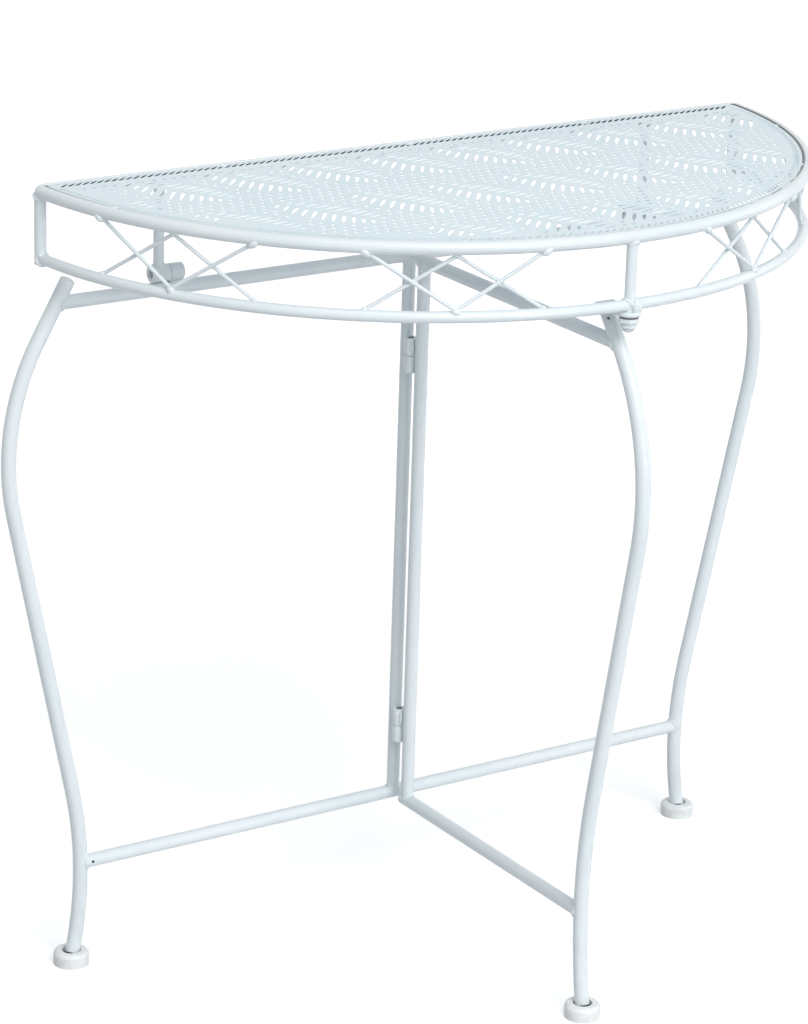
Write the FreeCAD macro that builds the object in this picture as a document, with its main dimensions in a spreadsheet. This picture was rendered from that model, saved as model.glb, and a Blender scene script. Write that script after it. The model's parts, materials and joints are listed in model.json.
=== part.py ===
"""Half-round folding wall console table in painted steel tube.

A rear frame of two S-bent legs carries a half-round top on two barrel hinges,
and a gate with a third S-bent leg swings out on the centre post to hold up the front.
Millimetres, +Z up, +Y towards the wall, X along the wall, origin on the floor at the middle of the outline.
"""
import FreeCAD, Part
import math
import os
import Sketcher
from FreeCAD import Vector

doc = FreeCAD.newDocument("wall_console_table")

# Driving dimensions
SIZES = {
    "table_height": 756,          # floor to the top of the rim
    "rim_radius": 386,            # plan radius of the rim's centreline
    "rim_depth": 365,             # back bar to the front of the rim, centrelines
    "rim_corner": 7.2,            # tight bend at the two rear corners
    "rim_dia": 12,
    "rim_wall": 1.0,
    "rim_seam": 294,              # butt joint of the rim tube, left of centre
    "rim_seam_gap": 0.4,
    "rim_drop": 60,               # lower rim below the upper one
    "lower_rim_dia": 10.4,
    "corner_post_dia": 11,
    "apron_post_dia": 10,
    "wire_dia": 3.6,
    "wire_bend": 5,
    "lattice_inner": 23.9,        # plan angle from the front post to the two groups next to it
    "lattice_corner": 24.35,      # plan angle from the rear groups to the corner posts
    "lattice_spread": 12.5,       # plan angle from a group's middle to its arms
    "sheet_thickness": 1.0,
    "sheet_gap": 1.0,             # open slot between the sheet and the rim
    "sheet_rise": 4.0,            # underside of the sheet above the rim's centreline
    "sheet_corner": 3,            # rounding of its two rear corners
    "sheet_border": 9,            # unpunched edge of the sheet
    "leaf_pitch_x": 80,           # repeat of the punched leaf
    "leaf_pitch_y": 122,
    "leaf_column": 35,            # middle of one leaf, right of the table's middle
    "leaf_row": 74,               # and in front of the back bar
    "leaf_width": 45,             # the leaf's rib, from end to end
    "leaf_length": 84,
    "leaf_rib": 6,
    "leaf_slit": 5.2,             # width of a slit along the rib
    "leaf_slit_short": 9,
    "leaf_slit_long": 29,
    "leaf_left_slope": 55,        # degrees from X
    "leaf_right_slope": 10,
    "tack_length": 8,             # weld tacks between the sheet and the rim
    "tack_angle": 24,
    "tack_side": 200,
    "leg_dia": 14,
    "rail_dia": 13,
    "post_dia": 12.6,
    "tube_wall": 1.2,
    "rail_drop": 107,             # upper rails below the top of the rim
    "stretcher_height": 101.5,
    "rear_bulge": 421.6,          # leg centreline from the middle of the table at its widest
    "rear_waist_height": 93.5,    # height where the leg is narrowest
    "rear_lower_bend": 404,
    "rear_shank": 11.93,          # outward lean of the straight shank, degrees
    "rear_upper_bend": 230,
    "rear_lean": 29.5,            # inward lean of the straight top end, degrees
    "rear_end": 59.45,            # length of that end
    "rear_horn": 19.3,            # its middle above the upper rail
    "front_waist_height": 114,    # the same for the front leg
    "front_lower_bend": 580,
    "front_shank": 10.5,
    "front_upper_bend": 225,
    "front_lean": 38.4,
    "front_end": 29,
    "front_rest": 41,             # its top end behind the front of the rim
    "plug_head": 1.6,
    "plug_spigot": 10,
    "foot_dia": 34,
    "foot_height": 13.5,
    "foot_round": 4,
    "foot_floor": 3,
    "foot_clear": 2,              # between the foot's bore and the leg
    "gate_clear": 0.8,            # between a gate hinge's barrel and the posts
    "gate_axis_side": 4,          # hinge axis left of the posts
    "gate_knuckle_dia": 13,
    "gate_knuckle_length": 17,
    "gate_hinge_drop": 94,        # meeting of the upper hinge's knuckles below the upper rails
    "gate_hinge_rise": 76.5,      # and of the lower hinge's above the lower rails
    "gate_pin_dia": 6,
    "gate_web": 5,
    "top_knuckle_dia": 16,
    "top_knuckle_fixed": 13.5,
    "top_knuckle_moving": 18.5,
    "top_pin_dia": 8,
    "top_pin_recess": 4,          # pin's outer end inside its knuckle
    "top_web": 8,
    "hinge_inset": 115.2,         # hinge posts from the corner posts
    "hinge_split": 10,            # meeting of the knuckles from the hinge post
    "front_post_side": 6.4,       # front post left of the middle
    "rest_tab_width": 20,
    "rest_tab_reach": 38,
    "rest_tab_thickness": 4,
    "stud_dia": 10,
    "stud_grip": 8,               # length of the stud inside the cap nut
    "washer_dia": 18,
    "washer_thickness": 1.6,
    "nut_width": 17,
    "nut_height": 5.5,
    "cap_dia": 15,                # domed cap of the nut
    "cap_height": 9.6,
    "cap_dome": 5.2,
    "weld_gap": 0.1,              # parts that are welded side by side
    "seat_gap": 0.3,              # parts that rest on each other
    "running_gap": 0.4,           # hinged parts past their neighbours
    "pin_gap": 0.1,               # pin in its running knuckle
    "pin_fit": 0.05,              # pin in its fixed knuckle
}
dims = doc.addObject("Spreadsheet::Sheet", "dims")
for row, (alias, value) in enumerate(SIZES.items(), start=1):
    dims.set("A%d" % row, alias)
    dims.set("B%d" % row, str(value))
    dims.setAlias("B%d" % row, alias)
doc.recompute()

# Places that follow from the driving dimensions, as expressions
FRONT_BULGE = ("(dims.rim_depth - (dims.rim_dia + dims.apron_post_dia) / 2 - dims.weld_gap - dims.front_rest"
               " + dims.front_end * sin(dims.front_lean)"
               " + dims.front_upper_bend * (1 - cos(dims.front_lean)))")
REAR_PLANE = "((%s + (dims.leg_dia - dims.foot_dia) / 2) / 2)" % FRONT_BULGE
BACK_BAR = "(%s + (dims.rim_dia + dims.apron_post_dia) / 2 + dims.weld_gap)" % REAR_PLANE
RIM_CENTRE = "(%s + dims.rim_radius - dims.rim_depth)" % BACK_BAR
RIM_HEIGHT = "(dims.table_height - dims.rim_dia / 2)"
LOWER_RIM_HEIGHT = "(%s - dims.rim_drop)" % RIM_HEIGHT
SHEET_UNDER = "(%s + dims.sheet_rise)" % RIM_HEIGHT
BEND_SINE = "((dims.rim_radius - dims.rim_depth + dims.rim_corner) / (dims.rim_radius - dims.rim_corner))"
CORNER_PLACE = "(%s - dims.rim_corner / 2)" % BACK_BAR
CORNER_SINE = "((%s - %s) / dims.rim_radius)" % (RIM_CENTRE, CORNER_PLACE)
CORNER_SIDE = "(dims.rim_radius * sqrt(1 - %s ^ 2))" % CORNER_SINE
TAB_TOP = "(%s - dims.lower_rim_dia / 2 - dims.weld_gap)" % LOWER_RIM_HEIGHT
TAB_UNDER = "(%s - dims.rest_tab_thickness)" % TAB_TOP
FRONT_TOP = ("(%s - dims.seat_gap - dims.leg_dia / 2 * sin(dims.front_lean)"
             " - dims.plug_head * cos(dims.front_lean))" % TAB_UNDER)
RAIL_HEIGHT = "(dims.table_height - dims.rail_drop)"
REAR_TOP = "(%s + dims.rear_horn)" % RAIL_HEIGHT
HALF_SPACING = ("sqrt(((dims.gate_knuckle_dia + dims.post_dia) / 2 + dims.gate_clear) ^ 2"
                " - dims.gate_axis_side ^ 2)")
GATE_AXIS = "(%s - %s)" % (REAR_PLANE, HALF_SPACING)
GATE_POST = "(%s - 2 * %s)" % (REAR_PLANE, HALF_SPACING)
TOP_AXIS = "(%s + (dims.rail_dia + dims.top_knuckle_dia) / 2 + dims.running_gap)" % RAIL_HEIGHT
HINGE_SIDE = "(%s - dims.hinge_inset)" % CORNER_SIDE
HINGE_MEET = "(%s - dims.hinge_split)" % HINGE_SIDE
POST_PLACE = "(%s - sqrt(dims.rim_radius ^ 2 - dims.front_post_side ^ 2))" % RIM_CENTRE

# Legs: the top end sets where the upper bend lies, and the shank's lean how far the leg swells
LEG_TOP = {"rear": REAR_TOP, "front": FRONT_TOP}
LEG_BULGE = {"rear": "dims.rear_bulge", "front": FRONT_BULGE}


def leg_bulge_height(leg):
    return ("({1} - dims.{0}_end * cos(dims.{0}_lean) - dims.{0}_upper_bend * sin(dims.{0}_lean))"
            ).format(leg, LEG_TOP[leg])


def leg_waist(leg):
    """Distance of a leg's centreline from its plane of reference where it is narrowest."""
    return ("({1} - (dims.{0}_lower_bend + dims.{0}_upper_bend) * (1 - cos(dims.{0}_shank))"
            " - ({2} - dims.{0}_waist_height - (dims.{0}_lower_bend + dims.{0}_upper_bend)"
            " * sin(dims.{0}_shank)) * tan(dims.{0}_shank))"
            ).format(leg, LEG_BULGE[leg], leg_bulge_height(leg))


def leg_end_height(leg):
    """Height of a leg tube's lower end, whose rim just clears the floor of its foot."""
    lean_sine = "(dims.{0}_waist_height - dims.foot_floor) / dims.{0}_lower_bend".format(leg)
    return "(dims.foot_floor + dims.seat_gap + dims.leg_dia / 2 * %s)" % lean_sine


def leg_out_low(leg, height):
    """Distance of a leg's centreline from its plane of reference on the lower bend."""
    return ("({2} + dims.{0}_lower_bend - sqrt(dims.{0}_lower_bend ^ 2"
            " - ({1} - dims.{0}_waist_height) ^ 2))").format(leg, height, leg_waist(leg))


def leg_out_bulge(leg, height):
    """The same on the upper bend."""
    return ("({2} - dims.{0}_upper_bend + sqrt(dims.{0}_upper_bend ^ 2"
            " - ({1} - {3}) ^ 2))").format(leg, height, LEG_BULGE[leg], leg_bulge_height(leg))


def leg_out_top(leg, height):
    """The same on the straight top end."""
    return ("({2} - dims.{0}_upper_bend * (1 - cos(dims.{0}_lean))"
            " - ({1} - {3} - dims.{0}_upper_bend * sin(dims.{0}_lean))"
            " * tan(dims.{0}_lean))").format(leg, height, LEG_BULGE[leg], leg_bulge_height(leg))


def number(expression):
    """Value of an expression on the sheet's sizes."""
    value = dims.evalExpression(expression)
    return float(getattr(value, "Value", value))


# Helpers for sketches, tubes and booleans
START, END, CENTRE = range(1, 4)


def origin_plane(body, role):
    return [item for item in body.Origin.OriginFeatures if item.Role == role][0]


def sketch_on(body, name, role, offset=None):
    """Sketch on one of the body's origin planes, moved along its normal by an expression."""
    sketch = body.newObject("Sketcher::SketchObject", name)
    sketch.AttachmentSupport = [(origin_plane(body, role), "")]
    sketch.MapMode = "FlatFace"
    if offset:
        sketch.setExpression("AttachmentOffset.Base.z", offset)
    return sketch


def bind(sketch, constraint, expression):
    """Adds a dimension to a sketch and ties it to the sheet."""
    index = sketch.addConstraint(constraint)
    sketch.setExpression("Constraints[%d]" % index, expression)


def bind_point(sketch, element, point, across, up):
    """Ties a point of a sketch to a signed place across and up from the sketch's origin."""
    for kind, expression in (("DistanceX", across), ("DistanceY", up)):
        if expression is None:
            continue
        value = number(expression)
        if value < 0:
            bind(sketch, Sketcher.Constraint(kind, element, point, -1, START, -value), "-(%s)" % expression)
        else:
            bind(sketch, Sketcher.Constraint(kind, -1, START, element, point, value), expression)


def circle_sketch(sketch, diameter):
    """One circle about the sketch's origin."""
    circle = sketch.addGeometry(Part.Circle(Vector(0, 0, 0), Vector(0, 0, 1), number(diameter) / 2))
    sketch.addConstraint(Sketcher.Constraint("Coincident", circle, CENTRE, -1, START))
    bind(sketch, Sketcher.Constraint("Diameter", circle, number(diameter)), diameter)


def sweep_tube(body, path, diameter, wall, at_end=False):
    """Sweeps a round rod along a path and bores it out. Returns the rod, which copes other tubes."""
    swept = []
    sections = [("rod", "PartDesign::AdditivePipe", diameter)]
    if wall:
        sections.append(("bore", "PartDesign::SubtractivePipe", "%s - 2 * %s" % (diameter, wall)))
    for kind, feature, section_diameter in sections:
        section = body.newObject("Sketcher::SketchObject", "%s_%s_section" % (body.Name, kind))
        section.AttachmentSupport = [(path, "Edge1")]
        section.MapMode = "NormalToEdge"
        section.MapPathParameter = 1.0 if at_end else 0.0
        circle_sketch(section, section_diameter)
        doc.recompute()
        pipe = body.newObject(feature, "%s_%s" % (body.Name, kind))
        pipe.Profile = section
        pipe.Spine = (path, [])
        doc.recompute()
        swept.append(pipe)
    return swept[0]


def place(item, x="0", y="0", z="0", axis=None, angle=None):
    """Ties an object's place, and the angle about an axis, to the sheet."""
    if axis:
        item.Placement = FreeCAD.Placement(Vector(0, 0, 0), FreeCAD.Rotation(axis, number(angle)))
        item.setExpression("Placement.Rotation.Angle", angle)
    for letter, expression in zip("xyz", (x, y, z)):
        item.setExpression("Placement.Base." + letter, expression)


ALONG_X = {"axis": Vector(0, 1, 0), "angle": "90"}
ALONG_FRONT = {"axis": Vector(1, 0, 0), "angle": "90"}


def rod(name, diameter, length, **where):
    """Round rod that starts at its place."""
    cylinder = doc.addObject("Part::Cylinder", name)
    cylinder.setExpression("Radius", "(%s) / 2" % diameter)
    cylinder.setExpression("Height", length)
    place(cylinder, **where)
    return cylinder


def block(name, length, width, height, **where):
    box = doc.addObject("Part::Box", name)
    for side, expression in (("Length", length), ("Width", width), ("Height", height)):
        box.setExpression(side, expression)
    place(box, **where)
    return box


def cut(name, base, *tools):
    """Takes one or more tools away from a base."""
    for number_of_cut, tool in enumerate(tools, start=1):
        last = number_of_cut == len(tools)
        result = doc.addObject("Part::Cut", name if last else "%s_cut_%d" % (name, number_of_cut))
        result.Base = base
        result.Tool = tool
        base = result
    return base


def fuse(name, base, tool):
    result = doc.addObject("Part::Fuse", name)
    result.Base = base
    result.Tool = tool
    return result


def group(name, items):
    result = doc.addObject("Part::Compound", name)
    result.Links = items
    return result


def coped_tube(name, diameter, wall, length, copes, **where):
    """Straight tube whose ends are shaped to the tubes that it meets. Returns the tube and its rod."""
    outside = rod(name + "_rod", diameter, length, **where)
    tools = list(copes)
    if wall:
        tools.insert(0, rod(name + "_bore", "%s - 2 * %s" % (diameter, wall), length, **where))
    return (cut(name, outside, *tools) if tools else outside), outside


sub_parts = {}


def keep(name, item):
    """Marks an object as a sub-part under its node name."""
    item.Label = name
    sub_parts[name] = item
    return item


# S-bent legs: lower bend, straight shank, upper bend, straight top end
def leg_points(leg, end_height, top_height):
    """Centreline of a leg as distance out and height, with the angles of its two bends."""
    lower = number("dims.%s_lower_bend" % leg)
    upper = number("dims.%s_upper_bend" % leg)
    lean = math.radians(number("dims.%s_lean" % leg))
    shank = math.radians(number("dims.%s_shank" % leg))
    low_centre = (number(leg_waist(leg)) + lower, number("dims.%s_waist_height" % leg))
    high_centre = (number(LEG_BULGE[leg]) - upper, number(leg_bulge_height(leg)))
    end_turn = math.asin((low_centre[1] - end_height) / lower)
    bend_end = (high_centre[0] + upper * math.cos(lean), high_centre[1] + upper * math.sin(lean))
    top = (bend_end[0] - (top_height - bend_end[1]) * math.tan(lean), top_height)
    shank_low = (low_centre[0] - lower * math.cos(shank), low_centre[1] + lower * math.sin(shank))
    shank_high = (high_centre[0] + upper * math.cos(shank), high_centre[1] - upper * math.sin(shank))
    return low_centre, high_centre, shank_low, shank_high, bend_end, top, end_turn, shank, lean


def bent_leg(name, leg, role, offset, datum, side):
    """One leg, on the negative side of its datum where side is -1. Returns its rod, which copes the rails."""
    body = doc.addObject("PartDesign::Body", name)
    path = sketch_on(body, name + "_path", role, offset)
    end_height = leg_end_height(leg)
    top_height = LEG_TOP[leg]
    points = leg_points(leg, number(end_height), number(top_height))
    low_centre, high_centre, shank_low, shank_high, bend_end, top = [
        Vector(number(datum) + side * point[0], point[1], 0) for point in points[:6]]
    end_turn, shank, lean = points[6:]
    lower = Part.Circle(low_centre, Vector(0, 0, 1), number("dims.%s_lower_bend" % leg))
    upper = Part.Circle(high_centre, Vector(0, 0, 1), number("dims.%s_upper_bend" % leg))
    if side < 0:
        low_arc = path.addGeometry(Part.ArcOfCircle(lower, -end_turn, shank))
        high_arc = path.addGeometry(Part.ArcOfCircle(upper, math.pi - lean, math.pi + shank))
        low_foot, low_top, high_foot, high_top = START, END, END, START
    else:
        low_arc = path.addGeometry(Part.ArcOfCircle(lower, math.pi - shank, math.pi + end_turn))
        high_arc = path.addGeometry(Part.ArcOfCircle(upper, -shank, lean))
        low_foot, low_top, high_foot, high_top = END, START, START, END
    shank_line = path.addGeometry(Part.LineSegment(shank_low, shank_high))
    top_line = path.addGeometry(Part.LineSegment(bend_end, top))
    path.addConstraint(Sketcher.Constraint("Tangent", low_arc, low_top, shank_line, START))
    path.addConstraint(Sketcher.Constraint("Tangent", high_arc, high_foot, shank_line, END))
    path.addConstraint(Sketcher.Constraint("Tangent", high_arc, high_top, top_line, START))
    bind(path, Sketcher.Constraint("Radius", low_arc, lower.Radius), "dims.%s_lower_bend" % leg)
    bind(path, Sketcher.Constraint("Radius", high_arc, upper.Radius), "dims.%s_upper_bend" % leg)
    sign = "-" if side < 0 else "+"
    low_place = "{0} {1} ({3} + dims.{2}_lower_bend)".format(datum, sign, leg, leg_waist(leg))
    high_place = "{0} {1} ({3} - dims.{2}_upper_bend)".format(datum, sign, leg, LEG_BULGE[leg])
    bind_point(path, low_arc, CENTRE, low_place, "dims.%s_waist_height" % leg)
    bind_point(path, high_arc, CENTRE, high_place, leg_bulge_height(leg))
    bind_point(path, low_arc, low_foot, None, end_height)
    bind_point(path, top_line, END, None, top_height)
    lean_angle = "90 {0} dims.{1}_lean".format("-" if side < 0 else "+", leg)
    bind(path, Sketcher.Constraint("Angle", top_line, math.radians(number(lean_angle))), lean_angle)
    doc.recompute()
    leg_rod = sweep_tube(body, path, "dims.leg_dia", "dims.tube_wall", at_end=side > 0)
    keep(name, body)
    return leg_rod


BEHIND = "-%s" % REAR_PLANE
rear_leg_rods = (bent_leg("rear_left_leg", "rear", "XZ_Plane", BEHIND, "0", -1),
                 bent_leg("rear_right_leg", "rear", "XZ_Plane", BEHIND, "0", 1))
front_leg_rod = bent_leg("front_leg", "front", "YZ_Plane", None, REAR_PLANE, -1)


# Rear frame: two rails from leg to leg and a centre post between them
def rear_rail(name, height, leg_out):
    length = "2 * %s" % leg_out("rear", height)
    tube, tube_rod = coped_tube(name, "dims.rail_dia", "dims.tube_wall", length, rear_leg_rods,
                                x="-%s" % leg_out("rear", height), y=REAR_PLANE, z=height, **ALONG_X)
    keep(name, tube)
    return tube_rod


def upright(name, place_y, rails):
    """Post from the lower to the upper rail of a frame. Returns its rod."""
    height = "%s - dims.stretcher_height" % RAIL_HEIGHT
    tube, tube_rod = coped_tube(name, "dims.post_dia", "dims.tube_wall", height, rails,
                                y=place_y, z="dims.stretcher_height")
    keep(name, tube)
    return tube_rod


rear_rail_rods = (rear_rail("rear_top_rail", RAIL_HEIGHT, leg_out_top),
                  rear_rail("rear_bottom_rail", "dims.stretcher_height", leg_out_low))
rear_post_rod = upright("rear_post", REAR_PLANE, rear_rail_rods)


# Gate: two rails that run over the gate post to the front leg
def gate_rail(name, height, leg_out):
    start = "(%s + dims.post_dia / 2)" % GATE_POST
    length = "%s - %s + %s" % (start, REAR_PLANE, leg_out("front", height))
    tube, tube_rod = coped_tube(name, "dims.rail_dia", "dims.tube_wall", length, (front_leg_rod,),
                                y=start, z=height, **ALONG_FRONT)
    keep(name, tube)
    return tube_rod


gate_rail_rods = (gate_rail("gate_top_rail", RAIL_HEIGHT, leg_out_bulge),
                  gate_rail("gate_bottom_rail", "dims.stretcher_height", leg_out_low))
gate_post_rod = upright("gate_post", GATE_POST, gate_rail_rods)


# Foot caps: round pads with a blind bore that the leg's end stands in
SAME_PLACE = 0.01


def foot_cap(name, x, y):
    body = doc.addObject("PartDesign::Body", name)
    disc = sketch_on(body, name + "_disc", "XY_Plane")
    circle_sketch(disc, "dims.foot_dia")
    pad = body.newObject("PartDesign::Pad", name + "_pad")
    pad.Profile = disc
    pad.setExpression("Length", "dims.foot_height")
    doc.recompute()
    well = sketch_on(body, name + "_well", "XY_Plane", "dims.foot_floor")
    circle_sketch(well, "dims.leg_dia + 2 * dims.foot_clear")
    pocket = body.newObject("PartDesign::Pocket", name + "_pocket")
    pocket.Profile = well
    pocket.Reversed = True
    pocket.setExpression("Length", "dims.foot_height")
    doc.recompute()
    outer_edges = ["Edge%d" % index for index, edge in enumerate(pocket.Shape.Edges, start=1)
                   if abs(edge.BoundBox.ZMin - number("dims.foot_height")) < SAME_PLACE
                   and abs(edge.BoundBox.XLength - number("dims.foot_dia")) < SAME_PLACE]
    soft_edge = body.newObject("PartDesign::Fillet", name + "_round")
    soft_edge.Base = (pocket, outer_edges)
    soft_edge.setExpression("Radius", "dims.foot_round")
    place(body, x=x, y=y)
    keep(name, body)


MID_FOOT = "dims.foot_height / 2"
foot_cap("rear_left_foot", "-%s" % leg_out_low("rear", MID_FOOT), REAR_PLANE)
foot_cap("rear_right_foot", leg_out_low("rear", MID_FOOT), REAR_PLANE)
foot_cap("front_foot", "0", "%s - %s" % (REAR_PLANE, leg_out_low("front", MID_FOOT)))


# Plugs that close the upper ends of the legs
def leg_plug(name, leg, x, y, z, axis):
    """Head on the leg's upper end, with a spigot that reaches down into the tube along the leg's lean."""
    lean = "dims.%s_lean" % leg
    back = "dims.plug_spigot * sin(%s)" % lean
    head = rod(name + "_head", "dims.leg_dia", "dims.plug_head", x=x, y=y, z=z, axis=axis, angle=lean)
    spigot = rod(name + "_spigot", "dims.leg_dia - 2 * (dims.tube_wall + dims.pin_fit)",
                 "dims.plug_spigot + dims.plug_head / 2", axis=axis, angle=lean,
                 x="%s - (%s) * %d" % (x, back, axis.y), y="%s + (%s) * %d" % (y, back, axis.x),
                 z="%s - dims.plug_spigot * cos(%s)" % (z, lean))
    return fuse(name, head, spigot)


rear_top_out = leg_out_top("rear", REAR_TOP)
plugs = [leg_plug("rear_plug_left", "rear", "-%s" % rear_top_out, REAR_PLANE, REAR_TOP, Vector(0, 1, 0)),
         leg_plug("rear_plug_right", "rear", rear_top_out, REAR_PLANE, REAR_TOP, Vector(0, -1, 0))]
keep("rear_leg_plugs", group("rear_leg_plugs", plugs))
front_end = "%s - %s" % (REAR_PLANE, leg_out_top("front", FRONT_TOP))
front_plug = leg_plug("front_leg_plug", "front", "0", front_end, FRONT_TOP, Vector(-1, 0, 0))
keep("front_leg_plug", front_plug)

# Gate hinges: the lower knuckles and their pins belong to the rear post, the upper knuckles to the gate
GATE_HINGES = {"high": "%s - dims.gate_hinge_drop" % RAIL_HEIGHT,
               "low": "dims.stretcher_height + dims.gate_hinge_rise"}
AXIS_X = "(-dims.gate_axis_side)"


def gate_knuckle(name, z, bore, post_rod, post_side):
    """Barrel with a short web to its own post; post_side is 1 towards the wall and -1 towards the gate."""
    length = "dims.gate_knuckle_length - dims.running_gap / 2"
    barrel = rod(name + "_barrel", "dims.gate_knuckle_dia", length, x=AXIS_X, y=GATE_AXIS, z=z)
    web_start = GATE_AXIS if post_side > 0 else GATE_POST
    web = block(name + "_web", "dims.gate_web", HALF_SPACING, length,
                x="-dims.gate_axis_side / 2 - dims.gate_web / 2", y=web_start, z=z)
    hole = rod(name + "_hole", bore, length, x=AXIS_X, y=GATE_AXIS, z=z)
    return cut(name, fuse(name + "_joined", barrel, web), post_rod, hole)


lower_knuckles = []
upper_knuckles = []
pins = []
for level, meet in GATE_HINGES.items():
    low_end = "%s - dims.gate_knuckle_length" % meet
    lower_knuckles.append(gate_knuckle("gate_lower_knuckle_" + level, low_end,
                                       "dims.gate_pin_dia + 2 * dims.pin_fit", rear_post_rod, 1))
    upper_knuckles.append(gate_knuckle("gate_upper_knuckle_" + level, "%s + dims.running_gap / 2" % meet,
                                       "dims.gate_pin_dia + 2 * dims.pin_gap", gate_post_rod, -1))
    pins.append(rod("gate_pin_" + level, "dims.gate_pin_dia", "2 * dims.gate_knuckle_length",
                    x=AXIS_X, y=GATE_AXIS, z=low_end))
keep("gate_hinge_lower_knuckles", group("gate_hinge_lower_knuckles", lower_knuckles))
keep("gate_hinge_upper_knuckles", group("gate_hinge_upper_knuckles", upper_knuckles))
keep("gate_hinge_pins", group("gate_hinge_pins", pins))


# Upper rim: one tube bent to a half round with a straight back, its ends butted on the back bar
def upper_rim():
    body = doc.addObject("PartDesign::Body", "upper_rim")
    path = sketch_on(body, "upper_rim_path", "XY_Plane", RIM_HEIGHT)
    radius = number("dims.rim_radius")
    corner = number("dims.rim_corner")
    back = number(BACK_BAR)
    turn = math.asin(number(BEND_SINE))
    side = (radius - corner) * math.cos(turn)
    seam = -number("dims.rim_seam")
    normal = Vector(0, 0, 1)
    left_bend = Part.Circle(Vector(-side, back - corner, 0), normal, corner)
    right_bend = Part.Circle(Vector(side, back - corner, 0), normal, corner)
    sweep = Part.Circle(Vector(0, number(RIM_CENTRE), 0), normal, radius)
    seam_end = Vector(seam + number("dims.rim_seam_gap"), back, 0)
    path.addGeometry([
        Part.LineSegment(Vector(seam, back, 0), Vector(-side, back, 0)),
        Part.ArcOfCircle(left_bend, math.pi / 2, math.pi + turn),
        Part.ArcOfCircle(sweep, math.pi + turn, 2 * math.pi - turn),
        Part.ArcOfCircle(right_bend, -turn, math.pi / 2),
        Part.LineSegment(Vector(side, back, 0), seam_end)])
    for element in range(4):
        path.addConstraint(Sketcher.Constraint("Tangent", element, END, element + 1, START))
    path.addConstraint(Sketcher.Constraint("Horizontal", 0))
    path.addConstraint(Sketcher.Constraint("Equal", 1, 3))
    bind(path, Sketcher.Constraint("Radius", 2, radius), "dims.rim_radius")
    bind(path, Sketcher.Constraint("Radius", 1, corner), "dims.rim_corner")
    path.addConstraint(Sketcher.Constraint("PointOnObject", 2, CENTRE, -2))
    bind_point(path, 2, CENTRE, None, RIM_CENTRE)
    bind_point(path, 0, START, "-dims.rim_seam", BACK_BAR)
    bind_point(path, 4, END, "-(dims.rim_seam - dims.rim_seam_gap)", BACK_BAR)
    doc.recompute()
    rim_rod = sweep_tube(body, path, "dims.rim_dia", "dims.rim_wall")
    keep("upper_rim", body)
    return rim_rod


upper_rim_rod = upper_rim()

# Corner posts under the two rear corners, and the lower rim that runs between them
corner_post_rods = []
for side_name, sign in (("left", "-"), ("right", "")):
    foot = "(%s - dims.lower_rim_dia / 2)" % LOWER_RIM_HEIGHT
    tube, tube_rod = coped_tube(side_name + "_corner_post", "dims.corner_post_dia", "dims.rim_wall",
                                "%s - %s" % (RIM_HEIGHT, foot), (upper_rim_rod,),
                                x=sign + CORNER_SIDE, y=CORNER_PLACE, z=foot)
    keep(side_name + "_corner_post", tube)
    corner_post_rods.append(tube_rod)


def lower_rim():
    body = doc.addObject("PartDesign::Body", "lower_rim_tube")
    path = sketch_on(body, "lower_rim_path", "XY_Plane", LOWER_RIM_HEIGHT)
    turn = math.asin(number(CORNER_SINE))
    circle = Part.Circle(Vector(0, number(RIM_CENTRE), 0), Vector(0, 0, 1), number("dims.rim_radius"))
    path.addGeometry(Part.ArcOfCircle(circle, math.pi + turn, 2 * math.pi - turn))
    path.addConstraint(Sketcher.Constraint("PointOnObject", 0, CENTRE, -2))
    bind(path, Sketcher.Constraint("Radius", 0, circle.Radius), "dims.rim_radius")
    bind_point(path, 0, CENTRE, None, RIM_CENTRE)
    bind_point(path, 0, START, None, CORNER_PLACE)
    bind_point(path, 0, END, None, CORNER_PLACE)
    doc.recompute()
    rim_rod = sweep_tube(body, path, "dims.lower_rim_dia", "dims.rim_wall")
    keep("lower_rim", cut("lower_rim", body, *corner_post_rods))
    return rim_rod


lower_rim_rod = lower_rim()

# Front post between the rims
keep("front_post", coped_tube("front_post", "dims.apron_post_dia", "dims.rim_wall", "dims.rim_drop",
                              (upper_rim_rod, lower_rim_rod), x="-dims.front_post_side", y=POST_PLACE,
                              z=LOWER_RIM_HEIGHT)[0])

# Top hinges: the inner knuckles and their pins sit on the rear rail, the outer ones carry the hinge posts
KNUCKLE_INNER = "(%s - dims.top_knuckle_fixed)" % HINGE_MEET
KNUCKLE_OUTER = "(%s + dims.running_gap)" % HINGE_MEET
MOVING_LENGTH = "(dims.top_knuckle_moving - dims.running_gap)"
PIN_LENGTH = "(dims.top_knuckle_fixed + dims.top_knuckle_moving - dims.top_pin_recess)"
FIXED_HOLE = "dims.top_pin_dia + 2 * dims.pin_fit"
MOVING_HOLE = "dims.top_pin_dia + 2 * dims.pin_gap"
HINGE_POST_TOP = "(%s - dims.sheet_gap)" % SHEET_UNDER


def from_middle(sign, start, length):
    """Lower X of a piece that lies from start outwards on the left, where sign is -1, or on the right."""
    return start if sign > 0 else "-%s - %s" % (start, length)


def hinge_barrel(name, sign, diameter, start, length):
    """Round piece on the top's hinge axis."""
    x = from_middle(sign, start, length)
    return rod(name, diameter, length, x=x, y=REAR_PLANE, z=TOP_AXIS, **ALONG_X)


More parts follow.
